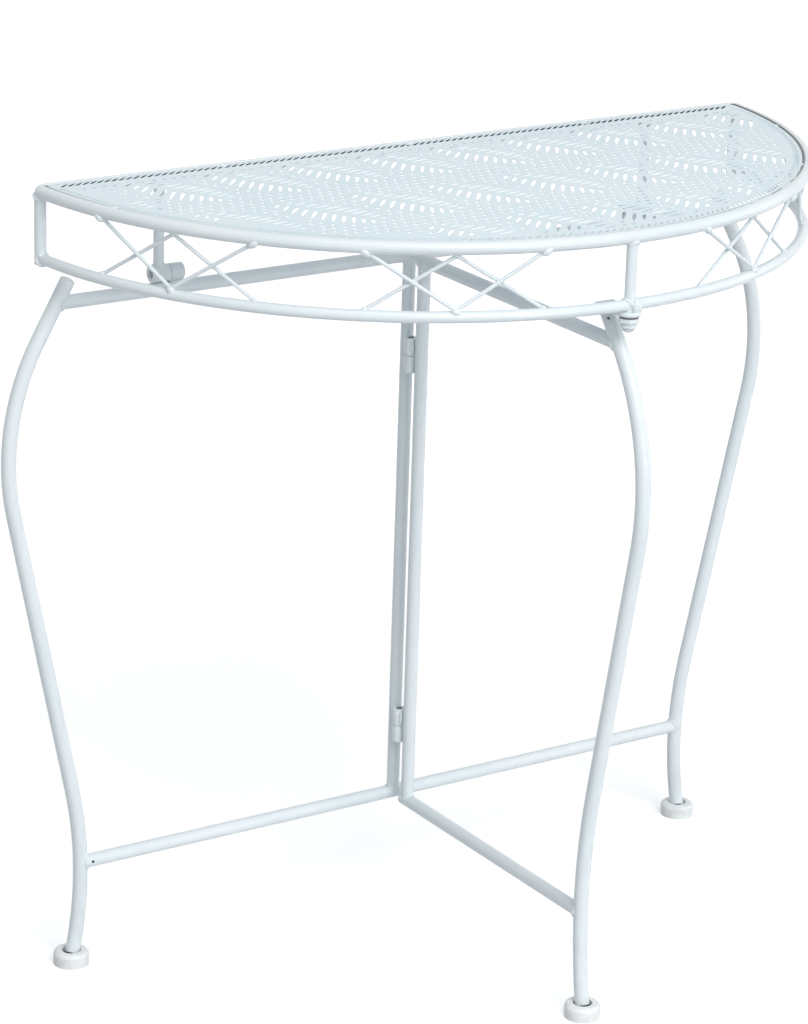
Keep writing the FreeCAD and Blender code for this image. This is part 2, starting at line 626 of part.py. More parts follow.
def fixed_knuckle(prefix, sign):
    """Barrel on a saddle that is shaped to the rear rail."""
    length = "dims.top_knuckle_fixed"
    barrel = hinge_barrel(prefix + "fixed_barrel", sign, "dims.top_knuckle_dia", KNUCKLE_INNER, length)
    web = block(prefix + "web", length, "dims.top_web", "%s - %s" % (TOP_AXIS, RAIL_HEIGHT),
                x=from_middle(sign, KNUCKLE_INNER, length), y="%s - dims.top_web / 2" % REAR_PLANE,
                z=RAIL_HEIGHT)
    hole = hinge_barrel(prefix + "fixed_hole", sign, FIXED_HOLE, KNUCKLE_INNER, length)
    return cut(prefix + "fixed", fuse(prefix + "fixed_joined", barrel, web), rear_rail_rods[0], hole)


fixed_knuckles = []
moving_knuckles = []
top_pins = []
for side_name, sign in (("left", -1), ("right", 1)):
    prefix = "top_hinge_%s_" % side_name
    fixed_knuckles.append(fixed_knuckle(prefix, sign))
    barrel = hinge_barrel(prefix + "barrel", sign, "dims.top_knuckle_dia", KNUCKLE_OUTER, MOVING_LENGTH)
    hole = hinge_barrel(prefix + "hole", sign, MOVING_HOLE, KNUCKLE_OUTER, MOVING_LENGTH)
    moving_knuckles.append(cut(prefix + "moving", barrel, hole))
    top_pins.append(hinge_barrel(prefix + "pin", sign, "dims.top_pin_dia", KNUCKLE_INNER, PIN_LENGTH))
    post = coped_tube(side_name + "_hinge_post", "dims.apron_post_dia", "dims.rim_wall",
                      "%s - %s" % (HINGE_POST_TOP, TOP_AXIS), (barrel,),
                      x="%d * %s" % (sign, HINGE_SIDE), y=REAR_PLANE, z=TOP_AXIS)[0]
    keep(side_name + "_hinge_post", post)
keep("top_hinge_fixed_knuckles", group("top_hinge_fixed_knuckles", fixed_knuckles))
keep("top_hinge_moving_knuckles", group("top_hinge_moving_knuckles", moving_knuckles))
keep("top_hinge_pins", group("top_hinge_pins", top_pins))

# Lattice: in each group an outer V and an inner inverted V of wire cross between the rims
WIRE_LOW = "(%s + (dims.lower_rim_dia + dims.wire_dia) / 2 + dims.weld_gap)" % LOWER_RIM_HEIGHT
WIRE_HIGH = "(%s - (dims.rim_dia + dims.wire_dia) / 2 - dims.weld_gap)" % RIM_HEIGHT
WIRE_SAG = "(dims.rim_radius * (1 - cos(dims.lattice_spread)))"
WIRE_SPAN = "(dims.rim_radius * sin(dims.lattice_spread))"
WIRE_OFFSET = "((dims.wire_dia + dims.weld_gap) / 2)"


def lattice_wire(name, plan_angle, upward):
    """V of wire, its point on one rim and its arms in the other; upward is 1 for a V, -1 for its inverse."""
    body = doc.addObject("PartDesign::Body", name + "_wire")
    start = WIRE_LOW if upward > 0 else WIRE_HIGH
    rise = "(%s - %s)" % ((RIM_HEIGHT, WIRE_LOW) if upward > 0 else (WIRE_HIGH, LOWER_RIM_HEIGHT))
    length = "sqrt(%s ^ 2 + %s ^ 2)" % (rise, WIRE_SAG)
    path = sketch_on(body, name + "_path", "XZ_Plane")
    tilt = "%d * atan(%s / %s)" % (-upward, WIRE_SAG, rise)
    turned = FreeCAD.Rotation(Vector(1, 0, 0), number(tilt))
    path.AttachmentOffset = FreeCAD.Placement(Vector(0, 0, 0), turned)
    path.setExpression("AttachmentOffset.Rotation.Angle", tilt)
    path.setExpression("AttachmentOffset.Base.y", start)
    path.setExpression("AttachmentOffset.Base.z", "dims.rim_radius + %d * %s" % (upward, WIRE_OFFSET))
    bend = number("dims.wire_bend")
    span = number(WIRE_SPAN)
    height = number(length)
    centre = Vector(0, upward * bend, 0)
    reach = math.hypot(span, height - bend)
    low = math.acos(bend / reach) - math.atan2(height - bend, span)
    circle = Part.Circle(centre, Vector(0, 0, 1), bend)
    touch = Vector(bend * math.cos(low), upward * (bend - bend * math.sin(low)), 0)
    other = Vector(-touch.x, touch.y, 0)
    tips = [Vector(sign * span, upward * height, 0) for sign in (-1, 1)]
    if upward > 0:
        arc = Part.ArcOfCircle(circle, math.pi + low, 2 * math.pi - low)
        first, last = other, touch
        ends = (tips[0], tips[1])
    else:
        arc = Part.ArcOfCircle(circle, low, math.pi - low)
        first, last = touch, other
        ends = (tips[1], tips[0])
    path.addGeometry([Part.LineSegment(ends[0], first), arc, Part.LineSegment(last, ends[1])])
    path.addConstraint(Sketcher.Constraint("Tangent", 0, END, 1, START))
    path.addConstraint(Sketcher.Constraint("Tangent", 1, END, 2, START))
    bind(path, Sketcher.Constraint("Radius", 1, bend), "dims.wire_bend")
    path.addConstraint(Sketcher.Constraint("PointOnObject", 1, CENTRE, -2))
    bind_point(path, 1, CENTRE, None, "%d * dims.wire_bend" % upward)
    signs = (-1, 1) if upward > 0 else (1, -1)
    bind_point(path, 0, START, "%d * %s" % (signs[0], WIRE_SPAN), "%d * %s" % (upward, length))
    bind_point(path, 2, END, "%d * %s" % (signs[1], WIRE_SPAN), "%d * %s" % (upward, length))
    doc.recompute()
    sweep_tube(body, path, "dims.wire_dia", None)
    place(body, y=RIM_CENTRE, axis=Vector(0, 0, 1), angle=plan_angle)
    keep(name, cut(name, body, upper_rim_rod if upward > 0 else lower_rim_rod))


REAR_GROUP = "(90 deg - asin(%s) - dims.lattice_corner * 1 deg)" % CORNER_SINE
FRONT_TURN = "asin(dims.front_post_side / dims.rim_radius)"
LATTICE_GROUPS = {"left_rear": "-%s" % REAR_GROUP,
                  "left_front": "-dims.lattice_inner * 1 deg - %s" % FRONT_TURN,
                  "right_front": "dims.lattice_inner * 1 deg - %s" % FRONT_TURN,
                  "right_rear": REAR_GROUP}
for group_name, plan_angle in LATTICE_GROUPS.items():
    lattice_wire("lattice_outer_" + group_name, plan_angle, 1)
    lattice_wire("lattice_inner_" + group_name, plan_angle, -1)

# Top sheet: a flat half round with a repeated leaf of slits, made as one holed face
SLITS_PER_SIDE = 6
SHEET_INSET = "(dims.rim_dia / 2 + dims.sheet_gap)"


def sheet_outline():
    """Closed outline of the sheet, parallel to the rim but for its corners."""
    inset = number(SHEET_INSET)
    radius = number("dims.rim_radius") - inset
    corner = number("dims.sheet_corner")
    back = number(BACK_BAR) - inset
    centre = Vector(0, number(RIM_CENTRE), 0)
    turn = math.asin((centre.y - back + corner) / (radius - corner))
    side = (radius - corner) * math.cos(turn)
    normal = Vector(0, 0, 1)
    left_bend = Part.Circle(Vector(-side, back - corner, 0), normal, corner)
    right_bend = Part.Circle(Vector(side, back - corner, 0), normal, corner)
    sweep = Part.Circle(centre, normal, radius)
    return Part.Wire([
        Part.LineSegment(Vector(side, back, 0), Vector(-side, back, 0)).toShape(),
        Part.ArcOfCircle(left_bend, math.pi / 2, math.pi + turn).toShape(),
        Part.ArcOfCircle(sweep, math.pi + turn, 2 * math.pi - turn).toShape(),
        Part.ArcOfCircle(right_bend, -turn, math.pi / 2).toShape()])


def leaf_slits(middle):
    """Corners of one leaf's slits: steep ones left of the rib, level ones right of it, longest mid-leaf."""
    width = number("dims.leaf_width")
    length = number("dims.leaf_length")
    along_rib = Vector(width, -length, 0).normalize() * number("dims.leaf_slit")
    left = math.radians(180 + number("dims.leaf_left_slope"))
    right = math.radians(number("dims.leaf_right_slope"))
    for index in range(SLITS_PER_SIDE):
        share = (index + 0.5) / SLITS_PER_SIDE
        growth = math.sin(math.pi * share)
        reach = number("dims.leaf_slit_short") * (1 - growth) + number("dims.leaf_slit_long") * growth
        on_rib = middle + Vector(width * (share - 0.5), length * (0.5 - share), 0)
        for start, slope in ((on_rib, left), (on_rib + Vector(number("dims.leaf_rib"), 0, 0), right)):
            end = start + Vector(math.cos(slope), math.sin(slope), 0) * reach
            yield [start, end, end + along_rib, start + along_rib]


def top_sheet():
    centre = Vector(0, number(RIM_CENTRE), 0)
    limit = number("dims.rim_radius - %s - dims.sheet_border" % SHEET_INSET)
    back = number("%s - %s - dims.sheet_border" % (BACK_BAR, SHEET_INSET))
    pitch_x = number("dims.leaf_pitch_x")
    pitch_y = number("dims.leaf_pitch_y")
    columns = math.ceil(limit / pitch_x)
    rows = math.ceil(2 * limit / pitch_y)
    slits = []
    for column in range(-columns, columns + 1):
        for row in range(rows):
            middle = Vector(number("dims.leaf_column") + column * pitch_x,
                            number("%s - dims.leaf_row" % BACK_BAR) - row * pitch_y, 0)
            for corners in leaf_slits(middle):
                if all((point - centre).Length < limit and point.y < back for point in corners):
                    slits.append(Part.makePolygon(corners + corners[:1]))
    face = Part.makeFace([sheet_outline()] + slits, "Part::FaceMakerCheese")
    sheet = doc.addObject("Part::Feature", "top_sheet")
    sheet.Shape = face.extrude(Vector(0, 0, number("dims.sheet_thickness")))
    sheet.Placement = FreeCAD.Placement(Vector(0, 0, number(SHEET_UNDER)), FreeCAD.Rotation())
    keep("top_sheet", sheet)
    print(len(slits), "slits in the sheet")


top_sheet()

# Weld tacks that hold the sheet in the rim, round the arc and along the back bar
ARC_TACKS = range(-3, 4)
BACK_TACKS = range(-1, 2)
TACK_OUTER = "(dims.rim_radius - dims.rim_dia / 4)"
TACK_WIDTH = "(%s - dims.rim_dia / 4 - dims.weld_gap / 2)" % SHEET_INSET
tack_tools = []
for index in ARC_TACKS:
    angle = "(%d * dims.tack_angle)" % index
    tack_tools.append(block("tack_arc_%d" % (index + len(ARC_TACKS)), "dims.tack_length", TACK_WIDTH,
                            "dims.sheet_thickness", axis=Vector(0, 0, 1), angle=angle,
                            x="{0} * sin({1}) - dims.tack_length / 2 * cos({1})".format(TACK_OUTER, angle),
                            y="{2} - {0} * cos({1}) - dims.tack_length / 2 * sin({1})".format(
                                TACK_OUTER, angle, RIM_CENTRE),
                            z=SHEET_UNDER))
for index in BACK_TACKS:
    tack_tools.append(block("tack_back_%d" % (index + len(BACK_TACKS)), "dims.tack_length", TACK_WIDTH,
                            "dims.sheet_thickness", x="%d * dims.tack_side - dims.tack_length / 2" % index,
                            y="%s - dims.rim_dia / 4 - %s" % (BACK_BAR, TACK_WIDTH), z=SHEET_UNDER))
tacks = [cut("sheet_" + tool.Name, tool, upper_rim_rod) for tool in tack_tools]
keep("sheet_tacks", group("sheet_tacks", tacks))


# Front rest: a tab under the lower rim that stands on the front leg, held by a stud, washer and nut
def rest_tab():
    body = doc.addObject("PartDesign::Body", "front_rest_tab")
    outline = sketch_on(body, "front_rest_tab_outline", "XY_Plane", TAB_UNDER)
    half = number("dims.rest_tab_width") / 2
    middle = number(STUD_SIDE)
    stud = Vector(middle, number(POST_PLACE), 0)
    end = stud.y + number("dims.rest_tab_reach")
    round_end = Part.Circle(stud, Vector(0, 0, 1), half)
    right, left = middle + half, middle - half
    outline.addGeometry([
        Part.ArcOfCircle(round_end, math.pi, 2 * math.pi),
        Part.LineSegment(Vector(right, stud.y, 0), Vector(right, end, 0)),
        Part.LineSegment(Vector(right, end, 0), Vector(left, end, 0)),
        Part.LineSegment(Vector(left, end, 0), Vector(left, stud.y, 0))])
    outline.addConstraint(Sketcher.Constraint("Tangent", 0, END, 1, START))
    outline.addConstraint(Sketcher.Constraint("Coincident", 1, END, 2, START))
    outline.addConstraint(Sketcher.Constraint("Coincident", 2, END, 3, START))
    outline.addConstraint(Sketcher.Constraint("Tangent", 3, END, 0, START))
    outline.addConstraint(Sketcher.Constraint("Horizontal", 2))
    outline.addConstraint(Sketcher.Constraint("Vertical", 1))
    bind(outline, Sketcher.Constraint("Radius", 0, half), "dims.rest_tab_width / 2")
    bind_point(outline, 0, CENTRE, STUD_SIDE, POST_PLACE)
    bind_point(outline, 1, END, None, "%s + dims.rest_tab_reach" % POST_PLACE)
    hole = outline.addGeometry(Part.Circle(stud, Vector(0, 0, 1), number(STUD_HOLE) / 2))
    outline.addConstraint(Sketcher.Constraint("Coincident", hole, CENTRE, 0, CENTRE))
    bind(outline, Sketcher.Constraint("Diameter", hole, number(STUD_HOLE)), STUD_HOLE)
    pad = body.newObject("PartDesign::Pad", "front_rest_tab_pad")
    pad.Profile = outline
    pad.setExpression("Length", "dims.rest_tab_thickness")
    keep("front_rest_tab", body)


STUD_SIDE = "-dims.front_post_side"
STUD_HOLE = "(dims.stud_dia + 2 * dims.seat_gap)"
WASHER_UNDER = "(%s - dims.weld_gap - dims.washer_thickness)" % TAB_UNDER
NUT_TOP = "(%s - dims.weld_gap)" % WASHER_UNDER
NUT_UNDER = "(%s - dims.nut_height)" % NUT_TOP
CAP_UNDER = "(%s - dims.cap_height)" % NUT_UNDER
STUD_END = "(%s - dims.stud_grip)" % NUT_TOP
DOME_RADIUS = "(((dims.cap_dia / 2) ^ 2 + dims.cap_dome ^ 2) / (2 * dims.cap_dome))"
AT_STUD = {"x": STUD_SIDE, "y": POST_PLACE}
rest_tab()
stud_length = "%s - %s" % (LOWER_RIM_HEIGHT, STUD_END)
stud_shank = rod("stud_shank", "dims.stud_dia", stud_length, z=STUD_END, **AT_STUD)
keep("rest_stud", cut("rest_stud", stud_shank, lower_rim_rod))
washer_disc = rod("washer_disc", "dims.washer_dia", "dims.washer_thickness", z=WASHER_UNDER, **AT_STUD)
washer_hole = rod("washer_hole", STUD_HOLE, "dims.washer_thickness", z=WASHER_UNDER, **AT_STUD)
keep("rest_washer", cut("rest_washer", washer_disc, washer_hole))


def cap_nut():
    """Hexagon with a domed cap, bored from above for the stud."""
    hexagon = doc.addObject("Part::Prism", "nut_hexagon")
    hexagon.Polygon = 6
    hexagon.setExpression("Circumradius", "dims.nut_width / sqrt(3)")
    hexagon.setExpression("Height", "dims.nut_height")
    place(hexagon, z=NUT_UNDER, **AT_STUD)
    barrel = rod("cap_barrel", "dims.cap_dia", "dims.cap_height", z=CAP_UNDER, **AT_STUD)
    ball = doc.addObject("Part::Sphere", "cap_ball")
    ball.setExpression("Radius", DOME_RADIUS)
    place(ball, z="%s + %s" % (CAP_UNDER, DOME_RADIUS), **AT_STUD)
    dome = doc.addObject("Part::Common", "cap_dome")
    dome.Base = barrel
    dome.Tool = ball
    hole = rod("nut_hole", "dims.stud_dia + 2 * dims.pin_gap", "dims.stud_grip + dims.seat_gap",
               z="%s - dims.seat_gap" % STUD_END, **AT_STUD)
    return cut("rest_nut", fuse("nut_whole", hexagon, dome), hole)


keep("rest_nut", cap_nut())

# Check and write
doc.recompute()
for item in doc.Objects:
    if "Invalid" in item.State or "Error" in item.State:
        raise RuntimeError("%s failed: %s" % (item.Name, item.State))
for node, item in sub_parts.items():
    if item.Shape.isNull() or not item.Shape.isValid():
        raise RuntimeError("%s has no valid shape" % node)
os.makedirs("parts", exist_ok=True)
for node, item in sub_parts.items():
    item.Shape.exportStep("parts/%s.step" % node)
print(len(sub_parts), "sub-parts")
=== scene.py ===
# %% [markdown]
# # A half-round folding wall table in white enamelled steel
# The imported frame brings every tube, wire and fitting at its real size, in metres, with +Z up
# and the wall on the +Y side. This lesson dresses that frame: it paints the steel, punches the
# leaf sheet of the top and lays the weld beads, so that the part looks like the real table.

# %% The frame and its box
import json
import math
import bmesh
import bpy
from mathutils import Matrix, Vector
from mathutils.geometry import intersect_point_line
from mathutils.noise import noise as unevenness


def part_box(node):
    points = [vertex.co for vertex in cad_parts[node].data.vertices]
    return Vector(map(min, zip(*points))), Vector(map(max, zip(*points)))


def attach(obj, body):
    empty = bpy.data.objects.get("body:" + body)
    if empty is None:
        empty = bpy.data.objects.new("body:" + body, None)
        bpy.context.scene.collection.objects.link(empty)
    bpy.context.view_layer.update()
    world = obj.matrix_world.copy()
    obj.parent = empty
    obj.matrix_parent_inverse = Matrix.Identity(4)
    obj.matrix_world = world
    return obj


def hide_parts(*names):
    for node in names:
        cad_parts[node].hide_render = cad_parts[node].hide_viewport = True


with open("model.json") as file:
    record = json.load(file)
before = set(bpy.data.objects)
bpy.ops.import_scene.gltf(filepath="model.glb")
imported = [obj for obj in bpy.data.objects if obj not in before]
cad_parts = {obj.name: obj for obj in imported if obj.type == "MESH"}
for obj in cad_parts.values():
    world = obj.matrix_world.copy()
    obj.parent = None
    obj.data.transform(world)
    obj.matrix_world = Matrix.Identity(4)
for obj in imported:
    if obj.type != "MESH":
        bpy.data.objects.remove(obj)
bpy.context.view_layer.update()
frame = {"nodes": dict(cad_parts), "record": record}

# %% [markdown]
# ## The camera
# A long lens standing well back gives the photograph its flat perspective. Its place was worked
# out from the corners of the table: 33.5 degrees round to the left, looking 19 degrees down. The
# lens follows from the focal length in image pixels and the sensor's 36 mm on the longer side.

# %% Camera
IMAGE_HEIGHT = 1024
FOCAL_PIXELS = 3598
SENSOR = 36.0
CAMERA_PLACE = Vector((-1.80858, -2.54814, 1.52042))
YAW = math.radians(33.538)
PITCH = math.radians(18.985)
ROLL = math.radians(-1.82)

forward = Vector((math.sin(YAW) * math.cos(PITCH), math.cos(YAW) * math.cos(PITCH), -math.sin(PITCH)))
level = Vector((math.cos(YAW), -math.sin(YAW), 0))
down = forward.cross(level)
image_right = math.cos(ROLL) * level + math.sin(ROLL) * down
image_up = math.sin(ROLL) * level - math.cos(ROLL) * down

lens = bpy.data.cameras.new("photo_lens")
lens.sensor_fit = "VERTICAL"
lens.sensor_height = SENSOR
lens.lens = FOCAL_PIXELS * SENSOR / IMAGE_HEIGHT
camera = bpy.data.objects.new("photo_camera", lens)
view_axes = Matrix((image_right, image_up, -forward)).transposed()
camera.matrix_world = Matrix.Translation(CAMERA_PLACE) @ view_axes.to_4x4()
bpy.context.scene.collection.objects.link(camera)
bpy.context.scene.camera = camera
print("lens", round(lens.lens, 2), "mm")

# %% [markdown]
# ## White studio
# A product photograph hangs a white surround round the object and lights it with large soft
# lamps. The floor and the world are white for camera, mirror and glass rays only, so the paint
# is still lit at a plain level and the floor keeps a faint shadow under the feet. Each helper
# adds one kind of node, joins what it is given and hands back the output to go on from.

# %% Node helpers and the world
WORLD_LIGHT = 0.40
WORLD_TINT = (0.95, 0.98, 1.0, 1)


def set_or_link(tree, socket, value):
    """Sets a plain number or colour on the socket, and links anything else to it."""
    if isinstance(value, (int, float, tuple)):
        socket.default_value = value
    else:
        tree.links.new(value, socket)


def maths(tree, operation, first, second):
    node = tree.nodes.new("ShaderNodeMath")
    node.operation = operation
    set_or_link(tree, node.inputs[0], first)
    set_or_link(tree, node.inputs[1], second)
    return node.outputs[0]


def seen_mask(tree):
    """1 for rays from the camera, off a mirror or through glass, 0 for light that falls on things."""
    path = tree.nodes.new("ShaderNodeLightPath")
    seen = path.outputs["Is Camera Ray"]
    for ray in ("Is Glossy Ray", "Is Transmission Ray"):
        seen = maths(tree, "MAXIMUM", seen, path.outputs[ray])
    return seen


def lit_or_seen(tree, lit, seen):
    """One shader for the light that falls on things, the other for what is seen."""
    node = tree.nodes.new("ShaderNodeMixShader")
    for source, socket in zip((seen_mask(tree), lit, seen), node.inputs):
        tree.links.new(source, socket)
    return node.outputs[0]


bpy.context.scene.view_settings.view_transform = "Standard"
world = bpy.data.worlds.new("white_studio")
world.use_nodes = True
bpy.context.scene.world = world
surround = world.node_tree
sky = surround.nodes["Background"]
sky.inputs["Color"].default_value = WORLD_TINT
sky.inputs["Strength"].default_value = WORLD_LIGHT
white = surround.nodes.new("ShaderNodeBackground")
white.inputs["Color"].default_value = (1, 1, 1, 1)
world_surface = lit_or_seen(surround, sky.outputs[0], white.outputs[0])
surround.links.new(world_surface, surround.nodes["World Output"].inputs["Surface"])
print("world light", WORLD_LIGHT)

# %% [markdown]
# ## The floor
# The floor is one large pale square. A little glow of its own lifts it to white where it is seen,
# weaker close to the table, so that the shadow of the feet is kept, and stronger far away, so that
# the floor runs into the white surround without an edge.

# %% Floor
FLOOR_SIZE = 12.0
floor_bm = bmesh.new()
bmesh.ops.create_grid(floor_bm, x_segments=1, y_segments=1, size=FLOOR_SIZE / 2)
floor_mesh = bpy.data.meshes.new("floor")
floor_bm.to_mesh(floor_mesh)
floor_bm.free()
floor = bpy.data.objects.new("floor", floor_mesh)
bpy.context.scene.collection.objects.link(floor)
print("floor", FLOOR_SIZE, "m across")

# %% Floor paint
FLOOR_PAINT = (0.95, 0.96, 0.97, 1)
FLOOR_ROUGHNESS = 0.9
FLOOR_BOUNCE = (0.55, 0.56, 0.57, 1)
# Glow close to the table and far from it, and the distances in metres between which it grows
FLOOR_GLOW = (0.38, 0.72)
FLOOR_FADE = (0.5, 2.6)


def ramp(tree, source, low, high, to_low=0.0, to_high=1.0):
    """Maps source from low..high to to_low..to_high, held at the ends."""
    node = tree.nodes.new("ShaderNodeMapRange")
    for socket, value in zip(("From Min", "From Max", "To Min", "To Max"), (low, high, to_low, to_high)):
        node.inputs[socket].default_value = value
    tree.links.new(source, node.inputs["Value"])
    return node.outputs["Result"]


def vector_length(tree, source):
    node = tree.nodes.new("ShaderNodeVectorMath")
    node.operation = "LENGTH"
    tree.links.new(source, node.inputs[0])
    return node.outputs["Value"]


floor_paint = bpy.data.materials.new("studio_floor")
floor_paint.use_nodes = True
floor_tree = floor_paint.node_tree
matt = floor_tree.nodes["Principled BSDF"]
matt.inputs["Base Color"].default_value = FLOOR_PAINT
matt.inputs["Roughness"].default_value = FLOOR_ROUGHNESS
matt.inputs["Specular IOR Level"].default_value = 0.0
glow = floor_tree.nodes.new("ShaderNodeEmission")
floor_place = floor_tree.nodes.new("ShaderNodeTexCoord").outputs["Object"]
fade = ramp(floor_tree, vector_length(floor_tree, floor_place), *FLOOR_FADE, *FLOOR_GLOW)
floor_tree.links.new(fade, glow.inputs["Strength"])
glowing = floor_tree.nodes.new("ShaderNodeAddShader")
floor_tree.links.new(matt.outputs[0], glowing.inputs[0])
floor_tree.links.new(glow.outputs[0], glowing.inputs[1])
dim = floor_tree.nodes.new("ShaderNodeBsdfDiffuse")
dim.inputs["Color"].default_value = FLOOR_BOUNCE
floor_surface = lit_or_seen(floor_tree, dim.outputs[0], glowing.outputs[0])
floor_tree.links.new(floor_surface, floor_tree.nodes["Material Output"].inputs["Surface"])
floor.data.materials.append(floor_paint)
print("floor glow", FLOOR_GLOW)

# %% [markdown]
# ## Soft lamps
# A large lamp makes soft shadows, so every lamp here is a wide square. The key stands high and well
# back in front, so that the top shades what is under it. Weak ones overhead and at the sides open
# the shadows, and a low one with a narrow beam lights the feet alone.

# %% Lamps
BODY_HEIGHT = 0.38
FEET_HEIGHT = 0.06
OPEN_BEAM = math.radians(180)
NARROW_BEAM = math.radians(24)
# Name, place, size across, watts, height aimed at and beam
LAMPS = (
    ("key_front", (-0.45, -4.6, 4.2), 3.2, 150, BODY_HEIGHT, OPEN_BEAM),
    ("low_front", (0.3, -3.4, 0.5), 1.2, 1.0, FEET_HEIGHT, NARROW_BEAM),
    ("overhead", (-0.5, -0.9, 2.7), 1.6, 11, BODY_HEIGHT, OPEN_BEAM),
    ("soft_left", (-2.4, -1.9, 1.3), 1.6, 5, BODY_HEIGHT, OPEN_BEAM),
    ("fill_right", (2.4, -0.6, 1.0), 1.4, 8, BODY_HEIGHT, OPEN_BEAM),
)
for name, place, across, watts, aim, beam in LAMPS:
    lamp = bpy.data.lights.new(name, "AREA")
    lamp.size = across
    lamp.energy = watts
    lamp.spread = beam
    holder = bpy.data.objects.new(name, lamp)
    holder.location = place
    holder.rotation_euler = (Vector((0, 0, aim)) - Vector(place)).to_track_quat("-Z", "Y").to_euler()
    bpy.context.scene.collection.objects.link(holder)
print("lamps", [row[0] for row in LAMPS])

# %% [markdown]
# ## The enamel
# Stove enamel on steel is never one flat colour: it is a touch bluer where it lies thick, its
# skin has a fine orange peel, and it carries a little dust low down and a few dull rubs. One
# node group works these out from Object coordinates, so that no piece has to be unwrapped, and
# each finish sets its own amounts.

# %% Enamel texture group
# Scale and detail of each noise, then the part of its range that goes from none to full
DRIFT = (9, 3, 0.35, 0.65)
RUBS = (55, 5, 0.60, 0.72)
SPECKS = (340, 3, 0.735, 0.76)
GRIME = (70, 4, 0.4, 0.75)
PEEL = (620, 2)
GRIME_HEIGHT = 0.09
SPECK_SHARE = 0.5
GRIME_SHARE = 0.6
# Places of the mask, the two colours and the mixed colour among a mix node's sockets
MIX_INPUTS = (0, 6, 7)
MIX_RESULT = 2
SKIN_SOCKETS = {
    "INPUT": {"Paint": "Color", "Thick Paint": "Color", "Dust": "Color", "Wear": "Float",
              "Gloss Low": "Float", "Gloss High": "Float"},
    "OUTPUT": {"Colour": "Color", "Roughness": "Float", "Height": "Float"},
}


def noise_texture(tree, source, scale, detail):
    node = tree.nodes.new("ShaderNodeTexNoise")
    node.inputs["Scale"].default_value = scale
    node.inputs["Detail"].default_value = detail
    tree.links.new(source, node.inputs["Vector"])
    return node.outputs["Fac"]


def patches(tree, source, scale, detail, low, high):
    return ramp(tree, noise_texture(tree, source, scale, detail), low, high)


def mix_colour(tree, mask, first, second):
    node = tree.nodes.new("ShaderNodeMix")
    node.data_type = "RGBA"
    for index, value in zip(MIX_INPUTS, (mask, first, second)):
        set_or_link(tree, node.inputs[index], value)
    return node.outputs[MIX_RESULT]


def enamel_group():
    group = bpy.data.node_groups.new("enamel_skin", "ShaderNodeTree")
    for way, sockets in SKIN_SOCKETS.items():
        for name, kind in sockets.items():
            group.interface.new_socket(name=name, in_out=way, socket_type="NodeSocket" + kind)
    given = group.nodes.new("NodeGroupInput").outputs
    result = group.nodes.new("NodeGroupOutput").inputs
    place = group.nodes.new("ShaderNodeTexCoord").outputs["Object"]
    height = group.nodes.new("ShaderNodeSeparateXYZ")
    group.links.new(place, height.inputs[0])
    low_down = ramp(group, height.outputs["Z"], 0.0, GRIME_HEIGHT, 1.0, 0.0)
    grime = maths(group, "MULTIPLY", patches(group, place, *GRIME), low_down)
    specks = maths(group, "MULTIPLY", patches(group, place, *SPECKS), SPECK_SHARE)
    marks = maths(group, "ADD", specks, maths(group, "MULTIPLY", grime, GRIME_SHARE))
    worn = maths(group, "MULTIPLY", marks, given["Wear"])
    coat = mix_colour(group, patches(group, place, *DRIFT), given["Paint"], given["Thick Paint"])
    group.links.new(mix_colour(group, worn, coat, given["Dust"]), result["Colour"])
    dull = maths(group, "MULTIPLY", patches(group, place, *RUBS), given["Wear"])
    span = maths(group, "SUBTRACT", given["Gloss High"], given["Gloss Low"])
    gloss = maths(group, "ADD", given["Gloss Low"], maths(group, "MULTIPLY", dull, span))
    group.links.new(gloss, result["Roughness"])
    group.links.new(noise_texture(group, place, *PEEL), result["Height"])
    return group


ENAMEL = enamel_group()
print("enamel group", len(ENAMEL.nodes), "nodes")

# %% [markdown]
# ## One finish for each material slot
# Tubes, wires and fittings carry the same white enamel, and the sheet a bluer one. The feet and
# plugs are moulded in white plastic. The pins and the washer get a dark grey, a painted shade for
# the shaded bores of the hinges and the dark gap above the cap nut. They differ only in their
# amounts, so one function makes them all, and a row of values stands for each.

# %% Finishes
DUST = (0.46, 0.45, 0.42, 1)
COAT_ROUGHNESS = 0.12
WHITE = (0.825, 0.88, 0.905)
BLUE_WHITE = (0.775, 0.85, 0.885)
SHEET_WHITE = (0.755, 0.88, 0.935)
SHEET_BLUE = (0.715, 0.855, 0.92)
FOOT_WHITE = (0.92, 0.94, 0.95)
FOOT_GREY = (0.89, 0.92, 0.935)
PLUG_WHITE = (0.84, 0.87, 0.885)
PLUG_GREY = (0.80, 0.845, 0.865)
# Dark greys of painted shade, for the pins in the shaded hinge bores and the washer above the nut
PIN_SHADE = (0.20, 0.21, 0.22)
PIN_DEEP_SHADE = (0.14, 0.145, 0.15)
# Slot, name, two colours, wear, least and most roughness, depth of the skin in metres, clear coat
FINISH_ROWS = (
    ("tube_paint", "tube_enamel", WHITE, BLUE_WHITE, 0.5, (0.28, 0.45), 0.00004, 0.15),
    ("wire_paint", "wire_enamel", WHITE, BLUE_WHITE, 0.5, (0.30, 0.45), 0.00005, 0.10),
    ("sheet_paint", "sheet_enamel", SHEET_WHITE, SHEET_BLUE, 0.4, (0.30, 0.42), 0.00003, 0.10),
    ("hardware_paint", "fitting_enamel", WHITE, BLUE_WHITE, 0.6, (0.30, 0.48), 0.00005, 0.10),
    ("foot_plastic", "foot_nylon", FOOT_WHITE, FOOT_GREY, 0.5, (0.42, 0.58), 0.00006, 0.0),
    # Painted shade: this dark row goes to the hinge pins and the washer
    ("pin_steel", "oiled_pin", PIN_SHADE, PIN_DEEP_SHADE, 0.8, (0.35, 0.5), 0.00003, 0.0),
    ("plug_plastic", "plug_nylon", PLUG_WHITE, PLUG_GREY, 0.6, (0.40, 0.55), 0.00006, 0.0),
)


